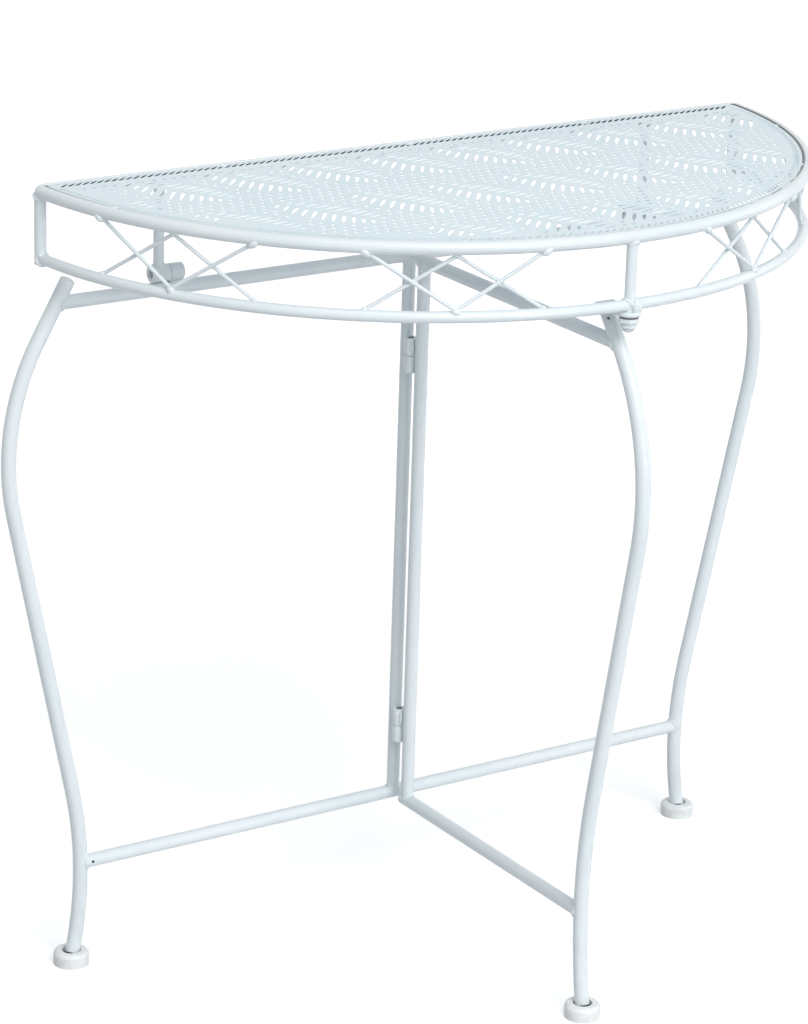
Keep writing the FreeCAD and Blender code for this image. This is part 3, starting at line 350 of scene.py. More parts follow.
def finish(name, paint, thick, wear, gloss, peel, coat):
    """One painted or moulded finish, from the values of a row."""
    material = bpy.data.materials.new(name)
    material.use_nodes = True
    tree = material.node_tree
    skin = tree.nodes.new("ShaderNodeGroup")
    skin.node_tree = ENAMEL
    skin.inputs["Paint"].default_value = (*paint, 1)
    skin.inputs["Thick Paint"].default_value = (*thick, 1)
    skin.inputs["Dust"].default_value = DUST
    skin.inputs["Wear"].default_value = wear
    skin.inputs["Gloss Low"].default_value = gloss[0]
    skin.inputs["Gloss High"].default_value = gloss[1]
    shader = tree.nodes["Principled BSDF"]
    shader.inputs["Coat Weight"].default_value = coat
    shader.inputs["Coat Roughness"].default_value = COAT_ROUGHNESS
    bump = tree.nodes.new("ShaderNodeBump")
    bump.inputs["Distance"].default_value = peel
    bump.inputs["Strength"].default_value = 1.0
    tree.links.new(skin.outputs["Colour"], shader.inputs["Base Color"])
    tree.links.new(skin.outputs["Roughness"], shader.inputs["Roughness"])
    tree.links.new(skin.outputs["Height"], bump.inputs["Height"])
    tree.links.new(bump.outputs["Normal"], shader.inputs["Normal"])
    return material


FINISHES = {slot: finish(*row) for slot, *row in FINISH_ROWS}
print("finishes", sorted(FINISHES))

# %% [markdown]
# ## Painting the frame
# Every node of the frame names its material slot, and the slot says which finish the node gets.
# The hinge pins and the washer are the exception: they get the dark grey of painted shade, for the
# shaded hinge bores and the gap above the cap nut, so their names decide.

# %% Paint on the frame's own nodes
# Nodes that get the dark grey of painted shade instead of their slot's finish
SHADED_FITTINGS = ("_pins", "_washer")
SLOT_OF = {row["node"]: row["material_slot"] for row in frame["record"]["subparts"]}
for name, node in frame["nodes"].items():
    slot = "pin_steel" if name.endswith(SHADED_FITTINGS) else SLOT_OF[name]
    node.data.materials.clear()
    node.data.materials.append(FINISHES[slot])
print("painted", len(frame["nodes"]), "nodes")

# %% [markdown]
# ## Softened edges on the fittings
# Paint rounds off the edges of turned and cut fittings, and a rounded edge catches the light. The
# frame's own meshes stay as they are: one modifier joins the corners that belong together, and a
# bevel modifier then rounds the sharp edges.

# %% Softened edges
EDGE_ROUND = {
    "top_hinge_fixed_knuckles": 0.0012,
    "top_hinge_moving_knuckles": 0.0007,
    "gate_hinge_lower_knuckles": 0.0007,
    "gate_hinge_upper_knuckles": 0.0007,
    "rest_washer": 0.0006,
    "front_rest_tab": 0.0014,
    "front_leg_plug": 0.0010,
}
EDGE_STEPS = 3
SHARP_EDGE = math.radians(40)
SAME_CORNER = 0.00001
for name, width in EDGE_ROUND.items():
    node = frame["nodes"][name]
    weld = node.modifiers.new("join_corners", "WELD")
    weld.merge_threshold = SAME_CORNER
    soft = node.modifiers.new("soft_edges", "BEVEL")
    soft.width = width
    soft.segments = EDGE_STEPS
    soft.limit_method = "ANGLE"
    soft.angle_limit = SHARP_EDGE
    soft.harden_normals = True
print("softened", len(EDGE_ROUND), "fittings")

# %% [markdown]
# ## Making a piece
# Every new piece ends the same way: its faces are turned outwards, it is shaded smooth except
# across sharp edges, it gets its paint, and it rides on the body that carries it. A piece that
# stands for frame nodes hides them, and a piece that is only added, such as a weld, names none.

# %% Piece helper


def piece(name, bm, body, slot, *nodes, sharp=40, look=None):
    bmesh.ops.recalc_face_normals(bm, faces=bm.faces)
    mesh = bpy.data.meshes.new(name)
    bm.to_mesh(mesh)
    bm.free()
    mesh.shade_smooth()
    mesh.set_sharp_from_angle(angle=math.radians(sharp))
    mesh.materials.append(look or FINISHES[slot])
    made = bpy.data.objects.new(name, mesh)
    bpy.context.scene.collection.objects.link(made)
    if nodes:
        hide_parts(*nodes)
    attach(made, body)
    print(name, "faces", len(mesh.polygons))


# %% [markdown]
# ## The punched sheet
# The top is one thin sheet with a leaf pattern punched all over it: steep teardrop slits on the
# left of each leaf's rib, thin level slits on its right, round holes in the gaps between leaves
# and a row of slanted slits along the edge. It lies in the half-round rim, so its outline comes
# from the rim's box and bend.

# %% Rim and sheet sizes from the frame
RIM_RADIUS = 0.386
SHEET_CORNER = 0.003
SHEET_SEAT = 0.0021
SHEET_SKIN = 0.0006
rim_low, rim_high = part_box("upper_rim")
rim_tube = (rim_high.z - rim_low.z) / 2
rim_z = (rim_high.z + rim_low.z) / 2
back_bar = rim_high.y - rim_tube
arc_y = rim_low.y + rim_tube + RIM_RADIUS
arc_centre = Vector((0, arc_y, 0))
sheet_low, sheet_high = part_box("top_sheet")
sheet_radius = arc_y - sheet_low.y + SHEET_SEAT
sheet_back = sheet_high.y + SHEET_SEAT
sheet_turn = math.asin((arc_y - sheet_back + SHEET_CORNER) / (sheet_radius - SHEET_CORNER))
sheet_side = (sheet_radius - SHEET_CORNER) * math.cos(sheet_turn)
print("rim tube", round(2000 * rim_tube, 1), "mm, sheet radius", round(1000 * sheet_radius, 1), "mm")

# %% [markdown]
# ## Painted shade in the crevice under the sheet
# Where the sheet lies on the rim runs a narrow crevice that the light hardly reaches. Its shade shows
# as a dark line through the slits of the edge, so a painted shade darkens the rim's paint on the
# side that faces the sheet, from the sheet down to the middle of the tube. A real groove would be
# finer than one pixel, so paint is enough.

# %% Painted shade in the crevice on the rim
CREVICE_SHADE = (0.05, 0.057, 0.065, 1)
# How far inside the arc and the back bar, and below and above the tube's middle, it starts and is full
CREVICE_ARC = (0.0012, 0.0024)
CREVICE_BAR = (0.0033, 0.0041)
CREVICE_DOWN = (0.0014, 0.0004)
CREVICE_UP = (0.0058, 0.0053)
rim_paint = FINISHES["tube_paint"].copy()
rim_paint.name = "rim_enamel_painted_shade"
rim_tree = rim_paint.node_tree
rim_coords = rim_tree.nodes.new("ShaderNodeTexCoord").outputs["Object"]
rim_place = rim_tree.nodes.new("ShaderNodeSeparateXYZ")
rim_tree.links.new(rim_coords, rim_place.inputs[0])
flat_place = rim_tree.nodes.new("ShaderNodeCombineXYZ")
rim_tree.links.new(rim_place.outputs["X"], flat_place.inputs["X"])
rim_tree.links.new(maths(rim_tree, "SUBTRACT", rim_place.outputs["Y"], arc_y), flat_place.inputs["Y"])
off_centre = vector_length(rim_tree, flat_place.outputs[0])
inside_arc = ramp(rim_tree, off_centre, *(RIM_RADIUS - depth for depth in CREVICE_ARC))
inside_bar = ramp(rim_tree, rim_place.outputs["Y"], *(back_bar - depth for depth in CREVICE_BAR))
above = ramp(rim_tree, rim_place.outputs["Z"], *(rim_z - drop for drop in CREVICE_DOWN))
below = ramp(rim_tree, rim_place.outputs["Z"], *(rim_z + rise for rise in CREVICE_UP))
# Mask of the painted shade: full on the rim's inner side, from the tube's middle up to the sheet
crevice = inside_arc
for limit in (inside_bar, above, below):
    crevice = maths(rim_tree, "MULTIPLY", crevice, limit)
rim_shader = rim_tree.nodes["Principled BSDF"]
skin_colour = rim_shader.inputs["Base Color"].links[0].from_socket
rim_tree.links.new(mix_colour(rim_tree, crevice, skin_colour, CREVICE_SHADE), rim_shader.inputs["Base Color"])
frame["nodes"]["upper_rim"].data.materials[0] = rim_paint
print("crevice inside the rim from z", round(1000 * rim_z, 1), "mm up")

# %% [markdown]
# ## Outline and holes
# A boolean cut for each of more than a thousand holes would be slow and fragile. Instead the sheet
# is drawn flat: its outline is swept from one point with three spins, each hole is a small circle
# stretched to its shape, and one fill later closes the sheet round all of them.

# %% Outline and hole helpers
HOLE_SIDES = 8


def heading(turn):
    return Vector((math.cos(turn), math.sin(turn), 0))


def half_round(bm, arc_steps=120, bend_steps=4):
    """Closed loop of edges round the sheet, swept from one point."""
    first = last = bm.verts.new((-sheet_side, sheet_back, 0))
    bends = (
        ((-sheet_side, sheet_back - SHEET_CORNER, 0), math.pi / 2 + sheet_turn, bend_steps),
        (arc_centre, math.pi - 2 * sheet_turn, arc_steps),
        ((sheet_side, sheet_back - SHEET_CORNER, 0), math.pi / 2 + sheet_turn, bend_steps),
    )
    for centre, angle, steps in bends:
        swept = bmesh.ops.spin(bm, geom=[last], cent=centre, axis=(0, 0, 1), angle=angle, steps=steps)
        last = swept["geom_last"][0]
    bm.edges.new((last, first))


def punch(bm, middle, length, width, turn, taper=0.0):
    """One hole; taper makes it a teardrop that narrows along its turned length."""
    loop = bmesh.ops.create_circle(bm, segments=HOLE_SIDES, radius=0.5)["verts"]
    for vert in loop:
        vert.co.y *= 1 - taper * 2 * vert.co.x
    shape = Matrix.Rotation(turn, 4, "Z") @ Matrix.Diagonal((length, width, 1, 1))
    bmesh.ops.transform(bm, matrix=Matrix.Translation(middle) @ shape, verts=loop)


def inside(point, margin):
    """Whether a point of the sheet lies at least margin from its edge."""
    return (point - arc_centre).length < sheet_radius - margin and point.y < sheet_back - margin


sheet = bmesh.new()
half_round(sheet)
print("outline", len(sheet.edges), "edges")

# %% [markdown]
# ## The leaf
# All leaves are alike, so the pattern is worked out once, about one leaf's middle. The slits start
# along its rib, and they are longest half way down, which gives the leaf its swell. Round holes fill
# a staggered grid, and those that would break into a slit of this leaf or of a neighbour are left out.

# %% Slits of a leaf
RIB_TOP = Vector((-0.0265, 0.049, 0))
RIB_END = Vector((0.023, -0.039, 0))
RIB_WIDTH = Vector((0.006, 0, 0))
SLITS_PER_SIDE = 11
STEEP_TURNS = (math.radians(221), math.radians(243))
STEEP_REACH = (0.011, 0.031)
STEEP_WIDTH = 0.0033
STEEP_TAPER = 0.45
LEVEL = math.radians(10)
LEVEL_REACH = (0.008, 0.028)
LEVEL_WIDTH = 0.0034
LEVEL_TAPER = 0.3


def between(ends, share):
    return ends[0] + (ends[1] - ends[0]) * share


def leaf_slits():
    """Start, direction, length, width and taper of one leaf's slits, about its middle."""
    for index in range(SLITS_PER_SIDE):
        share = (index + 0.5) / SLITS_PER_SIDE
        swell = math.sin(math.pi * share)
        on_rib = RIB_TOP.lerp(RIB_END, share)
        yield on_rib, between(STEEP_TURNS, share), between(STEEP_REACH, swell), STEEP_WIDTH, STEEP_TAPER
        yield on_rib + RIB_WIDTH, LEVEL, between(LEVEL_REACH, swell), LEVEL_WIDTH, LEVEL_TAPER


print("each leaf has", len(list(leaf_slits())), "slits")

# %% Round holes of a leaf
LEAF_PITCH = Vector((0.080, 0.122, 0))
DOT_PITCH = 0.0102
DOT_CLEAR = 0.0052


def off_slit(dot, start, end):
    """Distance of a round hole's middle from a slit's middle line."""
    share = intersect_point_line(dot, start, end)[1]
    return (dot - start.lerp(end, min(1, max(0, share)))).length


def leaf_dots():
    """Round holes of one repeat: a staggered grid, less the holes that would break into a slit."""
    slits = []
    for shift_x in (-1, 0, 1):
        for shift_y in (-1, 0, 1):
            move = Vector((shift_x * LEAF_PITCH.x, shift_y * LEAF_PITCH.y, 0))
            for start, turn, reach, *_ in leaf_slits():
                slits.append((start + move, start + move + heading(turn) * reach))
    dot_columns = round(LEAF_PITCH.x / DOT_PITCH)
    dot_rows = round(LEAF_PITCH.y / DOT_PITCH)
    for column in range(dot_columns):
        for row in range(dot_rows):
            across = (column + 0.5 * (row % 2)) / dot_columns - 0.5
            up = (row + 0.5) / dot_rows - 0.5
            dot = Vector((across, up, 0)) * LEAF_PITCH
            if min(off_slit(dot, start, end) for start, end in slits) > DOT_CLEAR:
                yield dot


dots = list(leaf_dots())
print("and", len(dots), "round holes")

# %% [markdown]
# ## Punching the leaves
# The leaves stand in straight columns and rows over the whole field. A slit that would run into the
# edge is tried shorter, and it is left out if that doesn't fit either.

# %% Punch the leaves
LEAF_FIRST = Vector((0.035, back_bar - 0.074, 0))
FIELD_MARGIN = 0.0142
SHORTER = (1.0, 0.7, 0.45)
DOT = 0.0044
DOT_STRETCH = 1.15


def punch_leaf(bm, leaf):
    """Punches what fits of the leaf about a point, and counts its holes."""
    count = 0
    for start, turn, reach, width, taper in leaf_slits():
        for share in SHORTER:
            end = leaf + start + heading(turn) * reach * share
            if inside(leaf + start, FIELD_MARGIN) and inside(end, FIELD_MARGIN):
                punch(bm, (leaf + start + end) / 2, reach * share, width, turn, taper)
                count += 1
                break
    for dot in dots:
        if inside(leaf + dot, FIELD_MARGIN):
            punch(bm, leaf + dot, DOT * DOT_STRETCH, DOT, LEVEL)
            count += 1
    return count


leaf_columns = math.ceil(RIM_RADIUS / LEAF_PITCH.x) + 1
leaf_rows = math.ceil(RIM_RADIUS / LEAF_PITCH.y) + 1
holes = 0
for column in range(-leaf_columns, leaf_columns + 1):
    for row in range(-1, leaf_rows):
        holes += punch_leaf(sheet, LEAF_FIRST + Vector((column * LEAF_PITCH.x, -row * LEAF_PITCH.y, 0)))
print("holes in the leaves", holes)

# %% [markdown]
# ## The row along the edge
# A row of slanted slits follows the edge like a stitched border, longer along the straight back than
# round the arc. Both runs are divided evenly and stop short of the corners, so no two slits meet there.

# %% Punch the edge
EDGE_ROW = 0.0056
EDGE_PITCH = 0.0072
EDGE_SLIT = (0.0160, 0.0033)
ARC_SLIT = (0.0100, 0.0022)
EDGE_SLANT = math.radians(38)
EDGE_TAPER = 0.55
# Plain stretch at the ends of the back row and of the arc, in widths of the row
BACK_PLAIN = 1.5
ARC_PLAIN = 3
back_run = 2 * (sheet_side - BACK_PLAIN * EDGE_ROW)
back_count = int(back_run / EDGE_PITCH)
for index in range(back_count):
    along = ((index + 0.5) / back_count - 0.5) * back_run
    punch(sheet, Vector((along, sheet_back - EDGE_ROW, 0)), *EDGE_SLIT, EDGE_SLANT, EDGE_TAPER)
    holes += 1
edge_radius = sheet_radius - EDGE_ROW
arc_angle = math.pi - 2 * sheet_turn
arc_count = int(arc_angle * edge_radius / EDGE_PITCH)
for index in range(1, arc_count):
    angle = math.pi + sheet_turn + arc_angle * index / arc_count
    on_arc = arc_centre + heading(angle) * edge_radius
    if on_arc.y < sheet_back - ARC_PLAIN * EDGE_ROW:
        punch(sheet, on_arc, *ARC_SLIT, angle + math.pi / 2 + EDGE_SLANT, EDGE_TAPER)
        holes += 1
print("holes", holes)

# %% [markdown]
# ## Closing the sheet
# One triangle fill closes the flat drawing between its outline and all the holes. Its faces are then
# extruded down, which gives the sheet its thickness and the holes their walls.

# %% Fill the sheet and give it its thickness
bmesh.ops.triangle_fill(sheet, use_beauty=True, use_dissolve=False, edges=sheet.edges[:], normal=(0, 0, 1))
bmesh.ops.translate(sheet, vec=(0, 0, sheet_high.z), verts=sheet.verts)
wall = bmesh.ops.extrude_face_region(sheet, geom=sheet.faces[:])
under = [item for item in wall["geom"] if isinstance(item, bmesh.types.BMVert)]
bmesh.ops.translate(sheet, vec=(0, 0, -SHEET_SKIN), verts=under)
piece("punched_sheet", sheet, "table_top", "sheet_paint", "top_sheet", sharp=30)

# %% [markdown]
# ## Weld beads
# The tubes are joined by weld beads that follow the saddle where one tube meets another. A bead
# is a ring of round section, spun about the end of the tube, and each of its points is then
# pushed along that tube until the ring lies on the other one. A bevelled curve would need the
# saddle's points first. Shorter seams and the ends of wires are lumps: balls pressed flat and made
# a little uneven.

# %% Bead and lump helpers
X = Vector((1, 0, 0))
Y = Vector((0, 1, 0))
Z = Vector((0, 0, 1))
BEAD = 0.0017
BEAD_SIDES = 6
BEAD_STEPS = 28
BEAD_RIPPLES = 11
BEAD_RIPPLE = 0.10
LUMP_UNEVEN = 0.14
LUMP_GRAIN = 1.7
LUMP_SHIFT = 90


def spun_section(bm, reach, radius, angle, steps, closed):
    """Round section that stands at reach from the Z axis, spun about it. Gives the new points."""
    older = set(bm.verts)
    stand = Matrix.Translation((reach, 0, 0)) @ Matrix.Rotation(math.pi / 2, 4, "X")
    bmesh.ops.create_circle(bm, segments=BEAD_SIDES, radius=radius, matrix=stand)
    points = [vert for vert in bm.verts if vert not in older]
    edges = list(dict.fromkeys(edge for vert in points for edge in vert.link_edges))
    bmesh.ops.spin(bm, geom=points + edges, cent=(0, 0, 0), axis=(0, 0, 1), angle=angle, steps=steps,
                   use_merge=closed)
    return [vert for vert in bm.verts if vert not in older]


def weld_ring(bm, at, along, onto, tube_radius, onto_radius, bead):
    """Bead where a tube that leaves the point at in the direction along meets a tube along onto."""
    up = along.normalized()
    side = up.cross(onto).normalized()
    front = side.cross(up)
    lean_up = up.dot(onto.normalized())
    lean_front = front.dot(onto.normalized())
    ring = spun_section(bm, tube_radius, bead, 2 * math.pi, BEAD_STEPS, True)
    for vert in ring:
        around = math.atan2(vert.co.y, vert.co.x)
        core = heading(around) * tube_radius
        swell = 1 + BEAD_RIPPLE * math.sin(BEAD_RIPPLES * around)
        saddle = math.sqrt(max(onto_radius ** 2 - core.y ** 2, 0))
        lift = (core.x * lean_up + saddle) / lean_front
        vert.co = core + (vert.co - core) * swell + lift * Z
    turn = Matrix((front, side, up)).transposed().to_4x4()
    bmesh.ops.transform(bm, matrix=Matrix.Translation(at) @ turn, verts=ring)


def lump(bm, middle, size, turn=Matrix.Identity(4)):
    """Rounded blob of weld, a little uneven, with its half sizes along its turned axes."""
    ball = bmesh.ops.create_icosphere(bm, subdivisions=2, radius=1)["verts"]
    for vert in ball:
        vert.co *= 1 + LUMP_UNEVEN * unevenness(vert.co * LUMP_GRAIN + middle * LUMP_SHIFT)
    shape = turn @ Matrix.Diagonal((*size, 1))
    bmesh.ops.transform(bm, matrix=Matrix.Translation(middle) @ shape, verts=ball)


def straight(node):
    """Both ends of the middle line of a straight tube along one of the frame's axes, and its radius."""
    low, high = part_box(node)
    spans = high - low
    along = max(range(3), key=lambda axis: spans[axis])
    first = (low + high) / 2
    last = first.copy()
    first[along] = low[along]
    last[along] = high[along]
    return first, last, min(spans) / 2


print("beads of", BEAD_STEPS, "steps and", BEAD_SIDES, "sides")

# %% [markdown]
# ## Welds of the rear frame
# The two rails run between the leaning legs, the post stands between the rails, and the fixed parts
# of both kinds of hinge are welded on. A rail's end is cut to the leg, so the middle of its ring lies
# a little past the rail, on the leg's own middle line.

# %% Beads on the rear frame
REAR_LEAN = math.radians(29.5)
rear_beads = bmesh.new()
top_first, top_last, rail_radius = straight("rear_top_rail")
low_first, low_last, _ = straight("rear_bottom_rail")


def rear_leg_line(sign):
    """Direction of a rear leg's upper end, on the left for -1 and on the right for 1."""
    return Vector((-sign * math.sin(REAR_LEAN), 0, math.cos(REAR_LEAN)))


REAR_LEGS = (("rear_left_leg", -1, top_first, low_first), ("rear_right_leg", 1, top_last, low_last))
for leg_name, sign, top_end, low_end in REAR_LEGS:
    leg_low, leg_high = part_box(leg_name)
    leg_radius = (leg_high.y - leg_low.y) / 2
    rail_cut = math.sqrt(leg_radius ** 2 - rail_radius ** 2)
    for rail_end, leg_line in ((top_end, rear_leg_line(sign)), (low_end, Z)):
        crossing = rail_end + sign * rail_cut * X
        weld_ring(rear_beads, crossing, -sign * X, leg_line, rail_radius, leg_radius, BEAD)
post_low, _, post_radius = straight("rear_post")
weld_ring(rear_beads, Vector((0, post_low.y, top_first.z)), -Z, X, post_radius, rail_radius, BEAD)
weld_ring(rear_beads, Vector((0, post_low.y, low_first.z)), Z, X, post_radius, rail_radius, BEAD)
print("rear beads", len(rear_beads.faces), "faces")

# %% Seams of the hinges on the rear frame
SADDLE_LENGTH = 0.0135
# Seam of a hinge saddle: how far before or behind the rail's middle line, how far above, and half sizes
SADDLE_OFF = 0.0046
SADDLE_UP = 0.0062
SADDLE_SEAM = (0.0062, 0.0019, 0.0017)
KNUCKLE_LENGTH = 0.017
# Seams of a gate knuckle: sideways from half way to the pin and towards the post, and half sizes
KNUCKLE_SIDES = ((-0.0042, 0.0066), (0.0040, 0.0062))
KNUCKLE_SEAM = (0.0018, 0.0018, 0.0078)
saddle_low, saddle_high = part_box("top_hinge_fixed_knuckles")
for saddle_x in (saddle_low.x + SADDLE_LENGTH / 2, saddle_high.x - SADDLE_LENGTH / 2):
    for face in (-1, 1):
        seam_at = Vector((saddle_x, top_first.y + face * SADDLE_OFF, top_first.z + SADDLE_UP))
        lump(rear_beads, seam_at, SADDLE_SEAM)
gate_pin_low, gate_pin_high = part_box("gate_hinge_pins")
gate_pin = (gate_pin_low + gate_pin_high) / 2
hinge_meets = (gate_pin_low.z + KNUCKLE_LENGTH, gate_pin_high.z - KNUCKLE_LENGTH)


def knuckle_seams(bm, side):
    """Seams of the gate hinges: side 1 for the rear frame's lower knuckles, -1 for the gate's upper ones."""
    for meet in hinge_meets:
        for across, back in KNUCKLE_SIDES:
            height = meet - side * KNUCKLE_LENGTH / 2
            lump(bm, Vector((gate_pin.x / 2 + across, gate_pin.y + side * back, height)), KNUCKLE_SEAM)


knuckle_seams(rear_beads, 1)
piece("rear_frame_welds", rear_beads, "back_frame", "tube_paint")

# %% [markdown]
# ## Welds of the gate
# The gate's rails meet the front leg, and its top rail does so on the leg's long bend, where the leg
# leans. So the crossing and the lean are worked out from the bend's circle. The rails' rear ends
# stand open to view and are closed with a shallow bulge of weld.

# %% Beads on the gate
FRONT_BEND = 0.225
FRONT_BULGE_HEIGHT = 0.5123
END_BULGE = 0.0022
END_INSET = 0.0004
END_SHARE = 0.98
gate_beads = bmesh.new()
gate_top_rear = straight("gate_top_rail")[1]
gate_low_front, gate_low_rear, _ = straight("gate_bottom_rail")
gate_rail_z = gate_low_front.z + top_first.z - low_first.z
bulge_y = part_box("front_leg")[0].y + leg_radius


def on_front_bend(height):
    """Point of the front leg's middle line at a height on its long bend, and the line's direction there."""
    lean = math.asin((height - FRONT_BULGE_HEIGHT) / FRONT_BEND)
    point = Vector((0, bulge_y + FRONT_BEND * (1 - math.cos(lean)), height))
    return point, Vector((0, math.sin(lean), math.cos(lean)))


crossing, leg_line = on_front_bend(gate_rail_z)
weld_ring(gate_beads, crossing, Y, leg_line, rail_radius, leg_radius, BEAD)
foot_cross = Vector((0, gate_low_front.y - rail_cut, gate_low_front.z))
weld_ring(gate_beads, foot_cross, Y, Z, rail_radius, leg_radius, BEAD)
gate_post_y = straight("gate_post")[0].y
weld_ring(gate_beads, Vector((0, gate_post_y, gate_rail_z)), -Z, Y, post_radius, rail_radius, BEAD)
weld_ring(gate_beads, Vector((0, gate_post_y, gate_low_front.z)), Z, Y, post_radius, rail_radius, BEAD)
knuckle_seams(gate_beads, -1)
end_size = (rail_radius * END_SHARE, END_BULGE, rail_radius * END_SHARE)
for end_y, end_z in ((gate_top_rear.y, gate_rail_z), (gate_low_rear.y, gate_low_rear.z)):
    lump(gate_beads, Vector((0, end_y - END_INSET, end_z)), end_size)
piece("gate_welds", gate_beads, "gate_leg", "tube_paint")

# %% [markdown]
# ## Welds round the top
# The posts of the top stand between the two rims. At the rear corners the lower rim is butted on the
# post from the side and the seam is thick, so two more lumps lie in each elbow. The front post has
# the fullest weld of all, and the rim's own closing seam is a thin ring on its back bar.

# %% Beads at the corners
ELBOW_BEAD = 1.2 * BEAD
POST_END = (0.0054, 0.0054, 0.0016)
POST_END_UP = 0.0004
# Lumps in the elbow: along the lower rim, outwards, up or down, and half sizes
ELBOW_ALONG = 0.0052
ELBOW_OUT = 0.0030
ELBOW_UP = 0.004
ELBOW_LUMP = (0.0030, 0.0030, 0.0028)
SEAM_X = -0.294
SEAM_BEAD = 0.0007
top_beads = bmesh.new()
lower_low, lower_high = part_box("lower_rim")
lower_z = (lower_low.z + lower_high.z) / 2
lower_tube = (lower_high.z - lower_low.z) / 2
for post_name, sign in (("left_corner_post", -1), ("right_corner_post", 1)):
    corner, _, corner_radius = straight(post_name)
    radial = Vector((corner.x, corner.y - arc_y, 0)).normalized()
    away = Vector((radial.y * sign, -radial.x * sign, 0))
    bend_line = Vector((sign, -1, 0)).normalized()
    upper_joint = Vector((corner.x, corner.y, rim_z))
    lower_joint = Vector((corner.x, corner.y, lower_z))
    weld_ring(top_beads, upper_joint, -Z, bend_line, corner_radius, rim_tube, BEAD)
    weld_ring(top_beads, lower_joint, away, Z, lower_tube, corner_radius, ELBOW_BEAD)
    lump(top_beads, corner + POST_END_UP * Z, POST_END)
    for side in (-1, 1):
        elbow = lower_joint + side * ELBOW_UP * Z + away * ELBOW_ALONG + radial * ELBOW_OUT
        lump(top_beads, elbow, ELBOW_LUMP)
weld_ring(top_beads, Vector((SEAM_X, back_bar, rim_z)), X, Z, rim_tube - SEAM_BEAD, 0.0, SEAM_BEAD)
print("corner welds", len(top_beads.faces), "faces")

# %% Beads at the front post, the hinge posts and the tab
FRONT_POST = 0.005
FRONT_BEAD = 1.15 * BEAD
FRONT_LUMP_AT = Vector((0.0036, -0.0058, -0.0008))
FRONT_LUMP = (0.0050, 0.0042, 0.0076)
# Seams beside each hinge post and on the tab: to both sides, back, up, and half sizes
HINGE_SEAM_AT = (0.0032, 0.0002, -0.004)
HINGE_SEAM = (0.0022, 0.0024, 0.0050)
TAB_SEAM_AT = (0.0062, 0.0034, 0.0010)
TAB_SEAM = (0.0036, 0.0022, 0.0016)


def seam_pair(middle, at, size):
    """Two lumps, one on each side of a point."""
    across, back, up = at
    for side in (-1, 1):
        lump(top_beads, middle + Vector((side * across, back, up)), size)


front_x = straight("front_post")[0].x
front_y = arc_y - math.sqrt(RIM_RADIUS ** 2 - front_x ** 2)
front_joint = Vector((front_x, front_y, lower_z))
weld_ring(top_beads, Vector((front_x, front_y, rim_z)), -Z, X, FRONT_POST, rim_tube, BEAD)
weld_ring(top_beads, front_joint, Z, X, FRONT_POST, lower_tube, FRONT_BEAD)
lump(top_beads, front_joint + FRONT_LUMP_AT, FRONT_LUMP)
barrel_low, barrel_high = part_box("top_hinge_moving_knuckles")
barrel_radius = (barrel_high.z - barrel_low.z) / 2
barrel_z = (barrel_high.z + barrel_low.z) / 2
for post_name in ("left_hinge_post", "right_hinge_post"):
    hinge_post, _, hinge_radius = straight(post_name)
    on_barrel = Vector((hinge_post.x, hinge_post.y, barrel_z))
    weld_ring(top_beads, on_barrel, Z, X, hinge_radius, barrel_radius, BEAD)
    seam_pair(Vector((hinge_post.x, (hinge_post.y + back_bar) / 2, rim_z)), HINGE_SEAM_AT, HINGE_SEAM)
tab_low, tab_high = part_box("front_rest_tab")
seam_pair(Vector(((tab_low.x + tab_high.x) / 2, front_y, lower_low.z)), TAB_SEAM_AT, TAB_SEAM)
piece("top_welds", top_beads, "table_top", "tube_paint")

# %% [markdown]
# ## Wire ends
# The thin wires between the rims stand in four groups, each an inverted V that crosses a V. Every wire
# ends in a small lump of weld on a rim. The lumps are placed by their angle round the arc, and those
# at the upper ends of the arms lie along their wire.

# %% Lumps at the wire ends
# Middle of each group and half its spread, as plan angles from the front
WIRE_GROUPS = (math.radians(-61.99), math.radians(-24.85), math.radians(22.95), math.radians(61.99))
WIRE_SPREAD = math.radians(12.5)
ARM_SHARE = 0.92
ARM_SLOPE = math.radians(36)
# Lumps: way out from the rims' middle line, height above the tube's mark, and half sizes
LOWER_POINT = (0.0026, -0.0004, (0.0030, 0.0042, 0.0036))
UPPER_POINT = (-0.0012, -0.0010, (0.0026, 0.0034, 0.0026))
UPPER_ARM = (0.0036, -0.0042, (0.0032, 0.0058, 0.0034))
LOWER_ARM = (-0.0014, 0.0, (0.0024, 0.0026, 0.0020))
wire_lumps = bmesh.new()
lower_rim_top = lower_z + lower_tube
upper_rim_foot = rim_z - rim_tube


def wire_end(angle, mark, lump_row, slope=0.0):
    """Lump at a plan angle from the front, at a height that is counted from mark."""
    out, up, size = lump_row
    around = angle - math.pi / 2
    place = Vector((0, arc_y, mark + up)) + heading(around) * (RIM_RADIUS + out)
    lump(wire_lumps, place, size, Matrix.Rotation(around, 4, "Z") @ Matrix.Rotation(slope, 4, "X"))


for group_angle in WIRE_GROUPS:
    wire_end(group_angle, lower_rim_top, LOWER_POINT)
    wire_end(group_angle, upper_rim_foot, UPPER_POINT)
    for sign in (-1, 1):
        arm = group_angle + sign * WIRE_SPREAD * ARM_SHARE
        wire_end(arm, rim_z, UPPER_ARM, sign * ARM_SLOPE)
        wire_end(arm, lower_rim_top, LOWER_ARM)
piece("lattice_welds", wire_lumps, "table_top", "wire_paint")

# %% [markdown]
# ## Tacks under the sheet
# The sheet is held to the rim by short tacks of weld on its underside: seven round the arc and three
# along the back bar. Flat lumps half way between the sheet's edge and the tube stand for them.

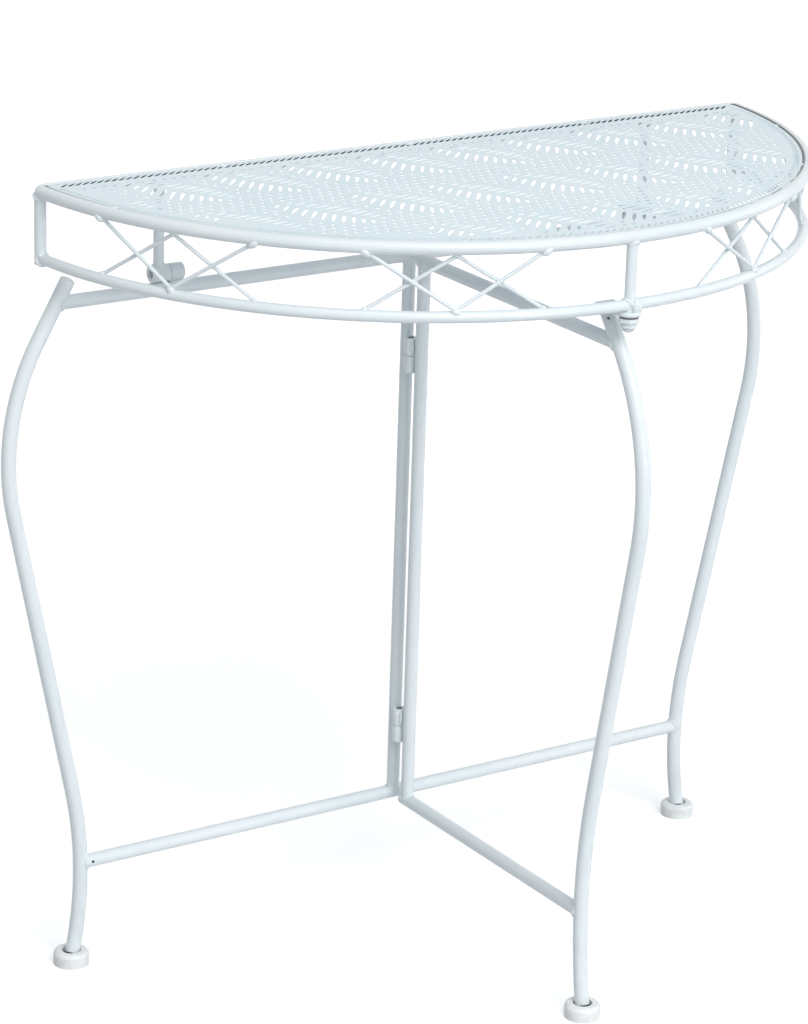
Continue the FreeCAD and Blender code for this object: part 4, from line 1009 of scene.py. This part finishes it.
# %% Tacks between sheet and rim
TACK_ANGLE = math.radians(24)
TACK_SIDE = 0.200
TACK_UP = 0.0002
TACK = (0.0040, 0.0027, 0.0016)
tack_bm = bmesh.new()
tack_z = sheet_low.z + TACK_UP
tack_radius = (sheet_radius + RIM_RADIUS - rim_tube) / 2
tack_back = (sheet_back + back_bar - rim_tube) / 2
for index in range(-3, 4):
    turn = index * TACK_ANGLE
    on_arc = Vector((0, arc_y, tack_z)) + heading(turn - math.pi / 2) * tack_radius
    lump(tack_bm, on_arc, TACK, Matrix.Rotation(turn, 4, "Z"))
for index in range(-1, 2):
    lump(tack_bm, Vector((index * TACK_SIDE, tack_back, tack_z)), TACK)
piece("sheet_weld_tacks", tack_bm, "table_top", "tube_paint", "sheet_tacks")

# %% [markdown]
# ## Caps in the leg ends
# The upper ends of the rear legs are closed with domed caps, and a nut with a dome closes the stud
# under the front post. These are turned shapes: half an outline, drawn beside the axis, is spun
# once round it. That needs only the few points at which the outline bends.

# %% Turning helper and leg caps
CAP_EDGE = 0.0004
CAP_RISE = 0.0028


def turned(bm, outline, at, axis, steps=24):
    """Spins an outline of (radius, height) points round the axis through at."""
    older = set(bm.verts)
    points = [bm.verts.new((radius, 0, height)) for radius, height in outline]
    edges = [bm.edges.new(pair) for pair in zip(points, points[1:])]
    bmesh.ops.spin(bm, geom=points + edges, cent=(0, 0, 0), axis=(0, 0, 1), angle=2 * math.pi, steps=steps,
                   use_merge=True)
    made = [vert for vert in bm.verts if vert not in older]
    bmesh.ops.remove_doubles(bm, verts=made, dist=1e-6)
    made = [vert for vert in bm.verts if vert not in older]
    face = axis.to_track_quat("Z", "Y").to_matrix().to_4x4()
    bmesh.ops.transform(bm, matrix=Matrix.Translation(at) @ face, verts=made)


def dome(radius, height, base, steps=6):
    """Points of a rounded end, from its edge to the axis."""
    points = []
    for step in range(steps + 1):
        angle = step * math.pi / 2 / steps
        points.append((radius * math.cos(angle), base + height * math.sin(angle)))
    return points


caps = bmesh.new()
leg_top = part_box("rear_left_leg")[1].z - leg_radius * math.sin(REAR_LEAN)
cap_outline = [(0, 0), (leg_radius, 0)] + dome(leg_radius, CAP_RISE, CAP_EDGE)
for sign, rail_end in ((-1, top_first), (1, top_last)):
    lean = rear_leg_line(sign)
    crossing = rail_end + sign * rail_cut * X
    turned(caps, cap_outline, crossing + lean * (leg_top - top_first.z) / lean.z, lean)
piece("leg_caps", caps, "back_frame", "plug_plastic", "rear_leg_plugs")

# %% [markdown]
# ## The cap nut
# The nut's hexagon is a six-sided cone with equal ends and bevelled edges. The ring and the dome below
# it, and the two grooves that part them, are one turned outline.

# %% Cap nut
NUT_CORNER = 0.0098
NUT_HIGH = 0.0044
NUT_BEVEL = 0.0006
RING_RADIUS = 0.0072
RING_HIGH = 0.0037
RING_SLOPES = (0.0004, 0.0005)
DOME_RADIUS = 0.0057
DOME_HIGH = 0.0048
GROOVE = 0.0007
GROOVE_FOOT = 0.0002
nut_low, nut_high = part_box("rest_nut")
nut_at = Vector(((nut_low.x + nut_high.x) / 2, (nut_low.y + nut_high.y) / 2, nut_high.z))
nut = bmesh.new()
nut_place = Matrix.Translation(nut_at - Z * NUT_HIGH / 2) @ Matrix.Rotation(math.pi / 6, 4, "Z")
bmesh.ops.create_cone(nut, cap_ends=True, segments=6, radius1=NUT_CORNER, radius2=NUT_CORNER, depth=NUT_HIGH,
                      matrix=nut_place)
bmesh.ops.bevel(nut, geom=nut.edges[:], offset=NUT_BEVEL, affect="EDGES", segments=2, profile=0.5,
                material=-1)
ring_core = RING_RADIUS - GROOVE
dome_core = DOME_RADIUS - GROOVE
ring_start = NUT_HIGH + GROOVE
ring_end = ring_start + RING_HIGH
dome_start = ring_end + GROOVE
nut_outline = [
    (0, NUT_HIGH / 2),
    (ring_core, NUT_HIGH / 2),
    (ring_core, ring_start - GROOVE_FOOT),
    (RING_RADIUS, ring_start + RING_SLOPES[0]),
    (RING_RADIUS, ring_end - RING_SLOPES[1]),
    (ring_core, ring_end),
    (dome_core, ring_end),
    (dome_core, dome_start),
]
turned(nut, nut_outline + dome(DOME_RADIUS, DOME_HIGH - GROOVE, dome_start), nut_at, -Z)
piece("cap_nut", nut, "table_top", "hardware_paint", "rest_nut")

# %% [markdown]
# ## Vent holes
# A closed tube needs a small hole to let the gas out when it is welded and painted. Two of them
# show: one in the rear bottom rail and one near the top of the front leg. Each is a dark shallow
# disc of painted shade on the tube's skin, for the shade inside the hole, because so small a hole
# shows no depth.

# %% Vent holes
# Painted shade: the near-black of the vent holes and of the gaps at the mouths of the foot caps
DARK = (0.012, 0.012, 0.013)
DARK_GREY = (0.02, 0.02, 0.021)
GAP_SHADE = finish("vent_shadow", DARK, DARK_GREY, 0.0, (0.7, 0.9), 0.00002, 0.0)
RAIL_VENT_X = -0.3388
RAIL_VENT_TURN = math.radians(8)
RAIL_VENT = (0.0016, 0.0014, 0.0003)
LEG_VENT_HEIGHT = 0.666
LEG_VENT_TURN = math.radians(-32)
LEG_VENT = (0.0030, 0.0015, 0.0004)


def vent(name, body, middle, out, radius, size):
    """Dark disc of painted shade on a tube's skin, in the direction out from a point of its middle line."""
    face = Matrix((X, out.cross(X).normalized(), out)).transposed().to_4x4()
    bm = bmesh.new()
    lump(bm, middle + out * radius, size, face)
    piece(name, bm, body, "tube_paint", look=GAP_SHADE)


rail_out = Vector((0, -math.cos(RAIL_VENT_TURN), math.sin(RAIL_VENT_TURN)))
rail_middle = Vector((RAIL_VENT_X, low_first.y, low_first.z))
vent("rail_vent", "back_frame", rail_middle, rail_out, rail_radius, RAIL_VENT)
leg_middle, leg_line = on_front_bend(LEG_VENT_HEIGHT)
leg_out = X * math.sin(LEG_VENT_TURN) - leg_line.cross(X) * math.cos(LEG_VENT_TURN)
vent("leg_vent", "gate_leg", leg_middle, leg_out, leg_radius, LEG_VENT)

# %% [markdown]
# ## Mouths of the foot caps
# Each leg stands loosely in its cap, and the shaded gap shows as a dark line along one side of the
# leg. The line is a painted shade: a round section spun part of the way about the cap's axis and
# thinned towards its ends. It lies at the cap's mouth, so that the cap itself, which belongs to the
# frame, stays as it is.

# %% Foot gaps
GAP_THICK = 0.0007
GAP_OUT = 0.0008
GAP_STEPS = 14
GAP_LEAST = 0.1
# Cap, where the line starts and how far it goes, in degrees
REAR_GAPS = (("rear_left_foot", 167, 86), ("rear_right_foot", 170, 95))
FRONT_GAPS = (("front_foot", 217, 90),)


def foot_gaps(name, body, gaps):
    bm = bmesh.new()
    reach = leg_radius + GAP_OUT
    for node, start, sweep in gaps:
        low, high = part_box(node)
        line = spun_section(bm, reach, GAP_THICK, math.radians(sweep), GAP_STEPS, False)
        for vert in line:
            around = math.atan2(vert.co.y, vert.co.x)
            core = heading(around) * reach
            thin = math.sqrt(max(GAP_LEAST, math.sin(math.pi * around / math.radians(sweep))))
            vert.co = core + (vert.co - core) * thin
        mouth = Matrix.Translation(((low.x + high.x) / 2, (low.y + high.y) / 2, high.z))
        bmesh.ops.transform(bm, matrix=mouth @ Matrix.Rotation(math.radians(start), 4, "Z"), verts=line)
    bmesh.ops.holes_fill(bm, edges=[edge for edge in bm.edges if edge.is_boundary], sides=BEAD_SIDES)
    # The line carries the painted shade of the gaps
    piece(name, bm, body, "foot_plastic", look=GAP_SHADE)


foot_gaps("rear_foot_gaps", "back_frame", REAR_GAPS)
foot_gaps("front_foot_gap", "gate_leg", FRONT_GAPS)
